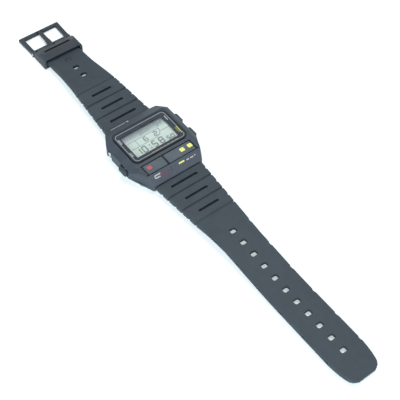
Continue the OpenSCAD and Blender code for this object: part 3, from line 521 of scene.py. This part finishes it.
# %% [markdown]
# ## Inks and other thin films
#
# Printed ink, paint and the dye of a display are thin films. Each is opaque and
# nearly even, but thinner in places, so its colour wanders between two close tones.
# One function makes them all: what differs is the size of the patches and how
# sharply the film mirrors. Screen printing leaves the faint mesh of its screen, and
# pad printing leaves broader patches. The black mask behind the window and the grey
# border on its front are screen-printed. The rim between them is bedded in black
# silicone, which is also painted shade for the dark gap round the window.

# %% Films
def film(name, main_hex, thin_hex, patch_mm, stops, detail, roughness, ior):
    """A thin coat whose colour wanders between two close tones in soft patches."""
    material, out = new_material(name)
    place = add_node(material, "ShaderNodeTexCoord").outputs["Object"]
    patches = add_node(material, "ShaderNodeTexNoise", inputs={
        "Vector": place, "Scale": per_mm(patch_mm), "Detail": detail})
    tones = list(zip(stops, (main_hex, thin_hex)))
    shader = add_node(material, "ShaderNodeBsdfPrincipled", inputs={
        "Base Color": ramp(material, patches.outputs["Fac"], tones),
        "Roughness": roughness, "IOR": ior})
    material.node_tree.links.new(shader.outputs[0], out.inputs["Surface"])
    return material


# the mesh of a screen is about 0.1 mm; drawn at 0.5 mm so that it shows
SCREEN_PRINT = {"patch_mm": 0.5, "stops": (0.3, 0.8), "detail": 2.0, "ior": 1.45}
# matt and almost black, a trace of blue
mask_ink = film(
    "Screen-printed black mask ink", "#12181c", "#1c2327", roughness=0.5, **SCREEN_PRINT)
# blue-grey under a clear lacquer, so it has a soft shine
border_ink = film(
    "Screen-printed grey border, lacquered", "#26333c", "#2d3a44", roughness=0.3, **SCREEN_PRINT)
# dull black, like a thin rubber line, and also painted shade for the gap round the window
sealant_and_shade = film(
    "Black silicone sealant round the window", "#1d2226", "#2a3035",
    roughness=0.6, **SCREEN_PRINT)

PAD_PRINT = {
    "patch_mm": 0.6, "stops": (0.35, 0.8), "detail": 3.0, "roughness": 0.45, "ior": 1.48}
# full coats: the grey of the case shows through only at their thin patches
white_ink = film("White pad-printing ink", "#c9d0d4", "#a4adb3", **PAD_PRINT)
grey_ink = film("Grey pad-printing ink", "#a3acb1", "#8b959b", **PAD_PRINT)
yellow_ink = film("Yellow pad-printing ink", "#fbff90", "#f0f678", **PAD_PRINT)
red_ink = film("Red pad-printing ink", "#c4606a", "#ad525c", **PAD_PRINT)
# thin coats, which read as a dull tint of what lies under them
dull_red_ink = film("Thin red pad-printing ink", "#7a4a55", "#614450", **PAD_PRINT)
olive_ink = film("Thin yellow pad-printing ink", "#8c9063", "#6d7054", **PAD_PRINT)
print("materials so far:", len(bpy.data.materials))

# %% [markdown]
# ## The display cell
#
# A liquid crystal cell of this kind has no light of its own. Its polariser lies over
# a brushed foil, so it reads as a pale grey-green with faint streaks. Towards
# 12 o'clock its colour is darkened, as painted shade of the bezel. The mask and
# the cell keep their CAD meshes and only get a finish.

# %% Cell, mask and rim
# painted shade: the cell's colour darkens between these two heights of Y
PAINTED_SHADE_Y = (4.2 * MM, 9.4 * MM)
# brush lines of a foil are finer than 0.1 mm; drawn at 0.35 mm so that they show
STREAK_MM = 0.35
STRETCH_ALONG_X = (0.25, 1.0, 1.0)
STREAKS_SHARE = 0.10
SEALANT_AND_SHADE_BELOW_TOP = 0.1


def dress(node, material):
    """Gives a CAD node its finish; its mesh and place stay as they are."""
    nodes[node].data.materials.clear()
    nodes[node].data.materials.append(material)
    print(f"{node}: {material.name}")


# pale grey-green, streaked from 9 to 3 o'clock, with painted shade: darker and bluer towards the
# bezel at 12 o'clock
cell, cell_out = new_material("Reflective liquid crystal cell")
cell_place = add_node(cell, "ShaderNodeTexCoord").outputs["Object"]
split = add_node(cell, "ShaderNodeSeparateXYZ", inputs={"Vector": cell_place})
shade = add_node(cell, "ShaderNodeMapRange", inputs={
    "Value": split.outputs["Y"], "From Min": PAINTED_SHADE_Y[0], "From Max": PAINTED_SHADE_Y[1]})
streaks = add_node(cell, "ShaderNodeMapping", inputs={
    "Vector": cell_place, "Scale": STRETCH_ALONG_X})
foil = add_node(cell, "ShaderNodeTexNoise", inputs={
    "Vector": streaks.outputs["Vector"], "Scale": per_mm(STREAK_MM), "Detail": 3.0})
tone = add_node(cell, "ShaderNodeMath", {"operation": "MULTIPLY_ADD"}, {
    0: foil.outputs["Fac"], 1: STREAKS_SHARE, 2: shade.outputs["Result"]})
# the two darker stops are the painted shade of the bezel
cell_colour = ramp(cell, tone.outputs[0], [
    (0.0, "#dbebe2"), (0.32, "#c2d4d1"), (0.62, "#8fa0a6"), (1.0, "#59666e")])
cell_shader = add_node(cell, "ShaderNodeBsdfPrincipled", inputs={
    "Base Color": cell_colour, "Roughness": 0.35, "IOR": 1.5})
cell.node_tree.links.new(cell_shader.outputs[0], cell_out.inputs["Surface"])
dress("lcd_glass", cell)
dress("dial_mask", mask_ink)

# painted shade: the rim is near black, bedded in black silicone and dark like the gap round it,
# so light doesn't enter at the rim, only at top and underside
WINDOW_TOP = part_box("crystal")[1].z / MM
finish_where(window, sealant_and_shade, lambda c, n: (
    n.z > -0.9 and c.z < WINDOW_TOP - SEALANT_AND_SHADE_BELOW_TOP))

# %% [markdown]
# ## Marks: one flat plate of ink
#
# Segments of the display, painted squares and printed dashes are all the same
# thing: a thin flat plate with slightly round corners. One plate is a plane whose
# corners are bevelled and whose face is extruded by the thickness of the ink. The
# function below makes it in place, on a level face or on a sloped one. Plates of
# one colour are joined into one piece.

# %% Plate of ink
KEY_PAINT = 0.03
CASE_PRINT = 0.02
DISPLAY_DYE = 0.02
WINDOW_PRINT = 0.015


def ink_plate(centre_mm, size_mm, corner_mm, film_mm, tilt=0.0, turn=0.0):
    """A plate that stands film_mm proud of a point, tilted and turned in degrees."""
    clear_selection()
    bpy.ops.mesh.primitive_plane_add(size=1.0, location=(0, 0, 0))
    plate = bpy.context.active_object
    plate.scale = (size_mm[0] * MM, size_mm[1] * MM, 1.0)
    bpy.ops.object.transform_apply(location=False, rotation=False, scale=True)
    bpy.ops.object.mode_set(mode="EDIT")
    bpy.ops.mesh.select_all(action="SELECT")
    # a narrow plate gets smaller corners, so that they never meet
    corner = min(corner_mm, 0.45 * min(size_mm))
    bpy.ops.mesh.bevel(offset=corner * MM, segments=2, affect="VERTICES")
    bpy.ops.mesh.select_all(action="SELECT")
    bpy.ops.mesh.extrude_region_move(TRANSFORM_OT_translate={"value": (0, 0, film_mm * MM)})
    bpy.ops.mesh.select_all(action="SELECT")
    bpy.ops.mesh.normals_make_consistent(inside=False)
    bpy.ops.object.mode_set(mode="OBJECT")
    plate.rotation_euler = (math.radians(tilt), 0.0, math.radians(turn))
    plate.location = Vector(centre_mm) * MM
    bpy.ops.object.transform_apply(location=True, rotation=True, scale=True)
    return plate


def join_marks(plates, name, body, material):
    """Joins plates of one colour into one piece that rides on a body."""
    clear_selection()
    for plate in plates:
        plate.select_set(True)
    bpy.context.view_layer.objects.active = plates[0]
    if len(plates) > 1:
        bpy.ops.object.join()
    piece = bpy.context.active_object
    piece.name = name
    piece.data.name = name
    piece.data.materials.clear()
    piece.data.materials.append(material)
    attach(piece, body)
    print(f"{name}: {len(plates)} marks")


# %% [markdown]
# ## The display's figures
#
# A figure on such a display is seven bars, of which some are lit. Here it is a list
# of its lit bars, so any time can be shown. Each row of figures has its own height,
# width and stroke.

# %% Bars of the figures
SEGMENTS = {
    "0": "abcdef", "1": "bc", "2": "abged", "3": "abgcd", "4": "fgbc",
    "5": "afgcd", "6": "afgedc", "7": "abc", "8": "abcdefg", "9": "abcdfg",
}
BAR_GAP = 0.12


def digit_bars(figure, centre, width, height, stroke):
    """Centre and size of each lit bar of one figure, in mm."""
    x, y = centre
    half_w, half_h = width / 2, height / 2
    layout = {
        "a": ((x, y + half_h), width),
        "g": ((x, y), width),
        "d": ((x, y - half_h), width),
        "f": ((x - half_w, y + half_h / 2), half_h),
        "b": ((x + half_w, y + half_h / 2), half_h),
        "e": ((x - half_w, y - half_h / 2), half_h),
        "c": ((x + half_w, y - half_h / 2), half_h),
    }
    lit_bars = []
    # a, g and d lie level, the others stand
    for letter in SEGMENTS[figure]:
        middle, length = layout[letter]
        size = (length - BAR_GAP, stroke) if letter in "agd" else (stroke, length - BAR_GAP)
        lit_bars.append((middle, size))
    return lit_bars


# the time, with the two squares between hours and minutes
bars = []
for figure, x in (("1", -8.3), ("0", -5.3), ("5", -0.1), ("8", 3.4)):
    bars += digit_bars(figure, (x, -1.6), 1.75, 3.2, 0.46)
for y in (-0.8, -2.6):
    bars.append(((-2.4, y), (0.5, 0.5)))
# the seconds, the row above the time, and the small figures of the top row
for figure, x in (("5", 6.7), ("0", 8.7)):
    bars += digit_bars(figure, (x, -2.35), 1.25, 2.0, 0.34)
for figure, x in (("6", -1.7), ("2", 3.4)):
    bars += digit_bars(figure, (x, 2.9), 1.6, 2.3, 0.34)
top_row = (
    ("0", -1.9), ("1", -1.0), ("1", 0.0), ("1", 1.0), ("1", 1.9), ("0", 6.9), ("4", 8.4))
for figure, x in top_row:
    bars += digit_bars(figure, (x, 6.7), 0.9, 1.7, 0.26)
print("lit bars:", len(bars))

# %% [markdown]
# ## Lit bars and their shadows
#
# The dye in a lit bar is slate grey and not black, because some light still passes.
# Each lit bar also drops a faint shadow on the foil behind the glass, which gives
# the doubled look of such displays. Here the shadow is a second plate, a little
# lower and shifted away from the lamp, so it needs no light passing through glass.

# %% Lit bars and their shadows
LCD_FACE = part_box("lcd_glass")[1].z / MM
LIT_HEIGHT = LCD_FACE + 0.03
SHADOW_HEIGHT = LCD_FACE + 0.005
SHADOW_SHIFT = (-0.22, -0.26)
BAR_CORNER = 0.14
DYE = {"stops": (0.3, 0.75), "detail": 2.0, "roughness": 0.4, "ior": 1.5}
# slate grey, a little uneven where the cell lets light through
segment_dye = film(
    "Dichroic segments of the liquid crystal", "#5a686c", "#6f8085", patch_mm=1.2, **DYE)
# pale grey-green, a little darker than the cell
shadow_dye = film("Segment shadow on the foil", "#a3b6b1", "#aec1bb", patch_mm=0.8, **DYE)

lit = [ink_plate((x, y, LIT_HEIGHT), size, BAR_CORNER, DISPLAY_DYE) for (x, y), size in bars]
join_marks(lit, "lit_segments", "case", segment_dye)
shift_x, shift_y = SHADOW_SHIFT
shadows = [
    ink_plate((x + shift_x, y + shift_y, SHADOW_HEIGHT), size, BAR_CORNER, DISPLAY_DYE)
    for (x, y), size in bars
]
join_marks(shadows, "segment_shadows", "case", shadow_dye)

# %% [markdown]
# ## Rules of the display
#
# Thin rules split the panel into fields. They are segments too, so they have the
# same dye. One of them bends up from the lower rule like the edge of a dial: an
# arc, laid out as short straight pieces that overlap a little.

# %% Rules of the display
RULE_OVERLAP = 0.06
RULE_CORNER = 0.02
BEND_CENTRE = (2.4, 4.4)
BEND_RADIUS = 3.6


def lcd_rule(points_mm, width_mm):
    """Straight pieces of a thin rule through the given points."""
    made = []
    for (x0, y0), (x1, y1) in zip(points_mm, points_mm[1:]):
        length = math.hypot(x1 - x0, y1 - y0)
        turn = math.degrees(math.atan2(y1 - y0, x1 - x0))
        made.append(ink_plate(
            ((x0 + x1) / 2, (y0 + y1) / 2, LIT_HEIGHT), (length + RULE_OVERLAP, width_mm),
            RULE_CORNER, DISPLAY_DYE, turn=turn))
    return made


bend = [
    (BEND_CENTRE[0] + BEND_RADIUS * math.sin(math.radians(angle)),
     BEND_CENTRE[1] - BEND_RADIUS * math.cos(math.radians(angle)))
    for angle in range(0, 106, 7)
]
rules = lcd_rule([(-10.0, 0.8), (2.4, 0.8)], 0.2)
rules += lcd_rule(bend, 0.22)
rules += lcd_rule([(-10.0, 4.7), (5.9, 4.6)], 0.17)
rules += lcd_rule([(5.9, 2.85), (10.6, 2.8)], 0.2)
rules += lcd_rule([(-6.1, 0.8), (-6.1, 4.7)], 0.17)
join_marks(rules, "panel_rules", "case", segment_dye)

# %% [markdown]
# ## Border and line on the window
#
# A wide grey border is printed on the front of the window and hides the edge of the
# mask below. A fine pale line runs round on top of it. Both are rings. A ring is a
# plane with bevelled corners whose face is inset. The face in the middle is removed
# and the rest extruded. The border isn't even all round, so its middle face is
# brought to the size and place of the opening before it is removed.

# %% Rings
PRINT_TOP = WINDOW_TOP + 0.016


def rounded_ring(name, centre_mm, size_mm, corner_mm, width_mm, opening_mm=None):
    """A flat ring; opening_mm brings its opening to (x, y, length, width)."""
    clear_selection()
    bpy.ops.mesh.primitive_plane_add(size=1.0, location=(0, 0, 0))
    ring = bpy.context.active_object
    ring.name = name
    ring.scale = (size_mm[0] * MM, size_mm[1] * MM, 1.0)
    bpy.ops.object.transform_apply(location=False, rotation=False, scale=True)
    bpy.ops.object.mode_set(mode="EDIT")
    bpy.ops.mesh.select_all(action="SELECT")
    bpy.ops.mesh.bevel(offset=corner_mm * MM, segments=8, affect="VERTICES")
    bpy.ops.mesh.select_all(action="SELECT")
    bpy.ops.mesh.inset(thickness=width_mm * MM, use_even_offset=True)
    if opening_mm:
        to_size = [opening_mm[2 + i] / (size_mm[i] - 2 * width_mm) for i in (0, 1)]
        bpy.ops.transform.resize(value=(*to_size, 1.0), center_override=(0.0, 0.0, 0.0))
        bpy.ops.transform.translate(value=(opening_mm[0] * MM, opening_mm[1] * MM, 0.0))
    bpy.ops.mesh.delete(type="ONLY_FACE")
    bpy.ops.mesh.select_all(action="SELECT")
    bpy.ops.mesh.extrude_region_move(TRANSFORM_OT_translate={"value": (0, 0, WINDOW_PRINT * MM)})
    bpy.ops.mesh.select_all(action="SELECT")
    bpy.ops.mesh.normals_make_consistent(inside=False)
    bpy.ops.object.mode_set(mode="OBJECT")
    ring.location = Vector(centre_mm) * MM
    bpy.ops.object.transform_apply(location=True, rotation=True, scale=True)
    return ring


# the border's opening sits a little towards 8 o'clock
border = rounded_ring(
    "window_border", (0, 2.5, WINDOW_TOP), (26.9, 18.3), 2.4, 2.2,
    opening_mm=(-0.2, -0.25, 21.5, 13.3))
join_marks([border], "window_border", "case", border_ink)
outer_line = rounded_ring("window_line", (0, 2.3, PRINT_TOP), (25.7, 16.9), 1.7, 0.28)
join_marks([outer_line], "window_line", "case", grey_ink)

# %% [markdown]
# ## Dashes beside the display
#
# Short coloured dashes flank the display, and a row of them runs below it. Words
# and names stay off this watch, so each caption is a plain dash of the same length.
# All of them are printed on the border.

# %% Dashes beside the display
def dashes(specs):
    """Dashes on the border: x, y, length along x and width along y of each, in mm."""
    return [ink_plate((x, y, PRINT_TOP), (w, h), 0.06, WINDOW_PRINT) for x, y, w, h in specs]


join_marks(dashes([
    (-12.3, 6.8, 0.26, 2.9), (-11.85, 6.8, 0.2, 2.9), (-12.3, -1.7, 0.26, 2.6),
    (-11.85, -1.7, 0.2, 2.6), (11.75, 6.7, 0.4, 2.7),
]), "window_dashes_white", "case", white_ink)
join_marks(dashes([(12.55, -1.75, 0.55, 4.1)]), "window_dash_yellow", "case", yellow_ink)
# the captions in the row below the display: middle and length of each
captions = [
    (-3.9, 0.9), (-2.5, 0.5), (-1.3, 0.9), (0.3, 1.3), (2.1, 1.0), (3.9, 1.5), (6.0, 1.6),
    (8.0, 1.4),
]
caption_dashes = [(x, -5.7, length, 0.3) for x, length in captions]
join_marks(
    dashes([(11.6, -1.65, 0.5, 3.2)] + caption_dashes), "window_dashes_olive", "case", olive_ink)

# %% [markdown]
# ## Squares on the keys
#
# Painted squares tell the keys apart: one red on the left, two yellow on the right.
# Paint is thicker than print, so these plates are too. They ride on the keys and go
# down with them.

# %% Painted squares on the keys
KEY_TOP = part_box("left_key")[1].z / MM
red_square = ink_plate((-9.8, -11.2, KEY_TOP), (2.05, 1.95), 0.35, KEY_PAINT)
join_marks([red_square], "key_square_red", "left_key", red_ink)
yellow_squares = [
    ink_plate((x, -11.3, KEY_TOP), (2.15, 2.0), 0.3, KEY_PAINT) for x in (7.0, 10.95)]
join_marks(yellow_squares, "key_squares_yellow", "right_key", yellow_ink)

# %% [markdown]
# ## Marks on the 6 o'clock slope
#
# The slope under the keys has short marks in three colours and a dark divider. A
# mark on a slope is placed by how far down it lies from the slope's upper edge, and
# tilted as the slope is. On a slope of 45 degrees it goes out as far as it goes down.

# %% Marks on the 6 o'clock slope
LEGEND_SLOPE = 45.0
LEGEND_EDGE = (-15.0, 9.0)


def legend_marks(specs):
    """Marks on the slope: x, way down from its upper edge, length and width, in mm."""
    plates = []
    for x, down, length, width in specs:
        run = down * math.cos(math.radians(LEGEND_SLOPE))
        middle = (x, LEGEND_EDGE[0] - run, LEGEND_EDGE[1] - run)
        plates.append(ink_plate(middle, (length, width), 0.05, CASE_PRINT, tilt=LEGEND_SLOPE))
    return plates


join_marks(legend_marks([
    (-9.0, 0.85, 2.9, 0.5), (-9.1, 1.95, 2.3, 0.5), (-10.4, 1.4, 0.4, 1.3),
    (6.4, 1.5, 1.3, 0.5), (8.5, 1.5, 1.6, 0.5), (10.2, 1.35, 0.6, 0.5),
]), "legend_marks_white", "case", white_ink)
join_marks(legend_marks([(3.3, 1.25, 2.8, 0.6)]), "legend_mark_yellow", "case", yellow_ink)
join_marks(legend_marks([(-2.0, 1.6, 0.2, 2.4)]), "legend_divider", "case", mask_ink)
join_marks(legend_marks([
    (-6.6, 0.9, 1.2, 0.35), (-4.9, 0.8, 1.3, 0.35), (-6.6, 1.8, 1.2, 0.35),
    (-4.9, 1.7, 1.3, 0.35), (-6.6, 2.5, 1.2, 0.3), (-4.9, 2.5, 1.3, 0.3),
]), "legend_marks_red", "case", dull_red_ink)

# %% [markdown]
# ## Rule on the 12 o'clock band
#
# The band at 12 o'clock slopes down from the bezel and carries a thin rule with a
# short stroke. Its angle comes from the two ends of its profile, so the plates lie
# flat on it.

# %% Rule on the 12 o'clock band
BAND_EDGE = (12.8, 9.6)
BAND_FOOT = (17.4, 7.0)
RULE_DOWN = 4.6
band_angle = math.atan2(BAND_FOOT[1] - BAND_EDGE[1], BAND_FOOT[0] - BAND_EDGE[0])
band_slope = math.degrees(band_angle)
down_band = Vector((0, math.cos(math.radians(band_slope)), math.sin(math.radians(band_slope))))
band_point = Vector((0, *BAND_EDGE)) + down_band * RULE_DOWN
band_marks = [
    ink_plate((x, band_point.y, band_point.z), size, 0.05, CASE_PRINT, tilt=band_slope)
    for x, size in ((-6.45, (7.5, 0.5)), (-1.55, (0.9, 1.2)))
]
join_marks(band_marks, "band_rule", "case", white_ink)

# %% [markdown]
# ## Metals
#
# Turned and stamped steel shows fine parallel lines, which a noise stretched along
# one direction gives. Brass springs and the gold of the contacts hardly show here,
# but each has its own finish, because the case can be opened on screen.

# %% Metals
ALONG_X = (1.0, 12.0, 1.0)
ACROSS_X = (12.0, 1.0, 1.0)
# the lines of a belt or a tool are some 0.02 mm; drawn at 0.12 mm so that they show
LINE_MM = 0.12
LINE_DEPTH = 0.01 * MM


def drawn_metal(name, hex_colour, roughness, stretch=ALONG_X):
    """Metal with fine parallel lines in its roughness and its relief."""
    material, out = new_material(name)
    place = add_node(material, "ShaderNodeTexCoord").outputs["Object"]
    lines = add_node(material, "ShaderNodeMapping", inputs={"Vector": place, "Scale": stretch})
    brush = add_node(material, "ShaderNodeTexNoise", inputs={
        "Vector": lines.outputs["Vector"], "Scale": per_mm(LINE_MM) / max(stretch),
        "Detail": 2.0})
    rough = add_node(material, "ShaderNodeMapRange", inputs={
        "Value": brush.outputs["Fac"], "To Min": roughness - 0.08, "To Max": roughness + 0.1})
    relief = add_node(material, "ShaderNodeBump", inputs={
        "Strength": 0.15, "Distance": LINE_DEPTH, "Height": brush.outputs["Fac"]})
    shader = add_node(material, "ShaderNodeBsdfPrincipled", inputs={
        "Base Color": linear(hex_colour), "Metallic": 1.0,
        "Roughness": rough.outputs["Result"], "Normal": relief.outputs["Normal"]})
    material.node_tree.links.new(shader.outputs[0], out.inputs["Surface"])
    return material


# neutral steels: satin where stamped, brighter where turned, duller where drawn
steel = drawn_metal("Brushed stainless steel", "#c3c5c6", 0.34)
turned_steel = drawn_metal("Turned stainless steel", "#c9cacb", 0.28, ACROSS_X)
spring_steel = drawn_metal("Drawn spring steel wire", "#b4b6b8", 0.36)
# warm yellows, the gold flash paler than the brass
brass = drawn_metal("Rolled spring brass", "#d6b66a", 0.3)
gold_flash = drawn_metal("Gold-flashed contact brass", "#e6c878", 0.26)
# silvery and diffuse, so that it lights the display evenly
foil_metal = drawn_metal("Diffuse aluminium foil", "#dcdcd6", 0.5)

for node in (
        "case_back", "back_screws", "battery", "battery_clip", "board_screws", "quartz_can"):
    dress(node, steel)
for node in ("spring_bar_short", "spring_bar_long", "buckle_pin", "adjust_button"):
    dress(node, turned_steel)
for node in nodes:
    if node.endswith(("_clip", "_clips")) and node != "battery_clip":
        dress(node, spring_steel)
dress("buzzer_disc", brass)
dress("buzzer_spring", brass)
dress("switch_contacts", gold_flash)
dress("lcd_reflector", foil_metal)

# %% [markdown]
# ## Return springs
#
# Each return spring stands between a fixed seat and the button or key that rides
# on it. Each spring gets a softened copy in spring steel, with a mesh of its own.

# %% Return springs
SIDE_SEATS = {"upper_right": 15.2, "lower_right": 15.2, "lower_left": -15.2, "adjust": -14.6}


def return_spring(node):
    """A softened copy of a spring in spring steel, with a mesh of its own."""
    coil = softened_copy(
        node, node + "_coil", "case", spring_steel, 0.02, segments=1)
    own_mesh(coil)


for button, seat_x in SIDE_SEATS.items():
    return_spring(button + "_spring")
for key in ("left_key", "right_key"):
    return_spring(key + "_springs")

# %% [markdown]
# ## Plastics, rubber and ceramic inside
#
# The module's frame and the spacer are natural acetal, and the board is coated with
# green solder mask. Potting epoxy covers the chip, and a fired ceramic disc drives
# the buzzer. Rubber seals the back and the buttons. One shader with a fine grain
# serves them all: grain size, gloss and colour make the difference. The grains are
# drawn at 0.2 to 0.9 mm, coarser than the real ones, so that they show.

# %% Plastics, rubber and ceramic
def plain_solid(name, main_hex, other_hex, grain_mm, roughness, bump=0.2, ior=1.5):
    """A solid of one material, with a fine grain in its colour and its relief."""
    material, out = new_material(name)
    place = add_node(material, "ShaderNodeTexCoord").outputs["Object"]
    grain = add_node(material, "ShaderNodeTexNoise", inputs={
        "Vector": place, "Scale": per_mm(grain_mm), "Detail": 3.0})
    relief = add_node(material, "ShaderNodeBump", inputs={
        "Strength": bump, "Distance": GRAIN_HEIGHT, "Height": grain.outputs["Fac"]})
    tones = [(0.3, main_hex), (0.75, other_hex)]
    shader = add_node(material, "ShaderNodeBsdfPrincipled", inputs={
        "Base Color": ramp(material, grain.outputs["Fac"], tones),
        "Roughness": roughness, "IOR": ior, "Normal": relief.outputs["Normal"]})
    material.node_tree.links.new(shader.outputs[0], out.inputs["Surface"])
    return material


# milky white with a waxy shine
acetal = plain_solid("Moulded acetal, natural", "#d9d4c6", "#cfc9b9", 0.6, 0.45)
# deep green and glossy, slightly uneven over the glass fibre
board = plain_solid("Solder mask on glass-fibre board", "#1f6a3c", "#1a5a33", 0.5, 0.3)
# a glossy black drop, lumpy where it set
potting = plain_solid(
    "Black potting epoxy", "#17181a", "#101113", 0.9, 0.25, bump=0.4, ior=1.55)
# dry and chalky
ceramic = plain_solid("Fired piezo ceramic", "#d9d5c6", "#cfcab8", 0.2, 0.7)
# dull black
rubber = plain_solid("Nitrile rubber", "#1c1c1e", "#26262a", 0.3, 0.6)
dress("module_frame", acetal)
dress("spacer_frame", acetal)
dress("circuit_board", board)
dress("chip_cap", potting)
dress("buzzer_element", ceramic)
dress("back_gasket", rubber)
dress("button_seals", rubber)

# %% [markdown]
# ## Layered elastomer
#
# Two strips join the display to the board. Each is rubber in layers that conduct and
# layers that don't, in turn. A Wave texture gives stripes of one width, and a steep
# ramp gives them hard edges.

# %% Layered elastomer
# the layers are 0.1 mm on the real strip, drawn at about 0.4 mm so that they show
LAYER_MM = 0.4
# a Wave texture counts in radians, so its scale is divided by one turn
ONE_TURN = 6.28

# pink rubber with black stripes across it
zebra, zebra_out = new_material("Layered conductive elastomer")
zebra_place = add_node(zebra, "ShaderNodeTexCoord").outputs["Object"]
layers = add_node(zebra, "ShaderNodeTexWave", {"bands_direction": "X"}, {
    "Vector": zebra_place, "Scale": per_mm(LAYER_MM) / ONE_TURN, "Distortion": 0.0})
zebra_shader = add_node(zebra, "ShaderNodeBsdfPrincipled", inputs={
    "Base Color": ramp(zebra, layers.outputs["Fac"], [(0.45, "#b9808c"), (0.55, "#2b2226")]),
    "Roughness": 0.6, "IOR": 1.45})
zebra.node_tree.links.new(zebra_shader.outputs[0], zebra_out.inputs["Surface"])
dress("zebra_strips", zebra)

# %% [markdown]
# ## Lamp glass
#
# A tiny bare bulb lights the display from the side. It is clear glass that passes
# light, so a Principled shader with full transmission does for it. Fine seeds from
# blowing vary its roughness.

# %% Lamp glass
# clear with a warm tint, blurred here and there
bulb, bulb_out = new_material("Clear soda-lime lamp glass")
bulb_place = add_node(bulb, "ShaderNodeTexCoord").outputs["Object"]
seeds = add_node(bulb, "ShaderNodeTexNoise", inputs={
    "Vector": bulb_place, "Scale": per_mm(0.4)})
bulb_rough = add_node(bulb, "ShaderNodeMapRange", inputs={
    "Value": seeds.outputs["Fac"], "To Min": 0.02, "To Max": 0.1})
bulb_shader = add_node(bulb, "ShaderNodeBsdfPrincipled", inputs={
    "Base Color": linear("#fff4d8"), "Roughness": bulb_rough.outputs["Result"],
    "IOR": 1.5, "Transmission Weight": 1.0})
bulb.node_tree.links.new(bulb_shader.outputs[0], bulb_out.inputs["Surface"])
dress("lamp", bulb)
print("materials in all:", len(bpy.data.materials))
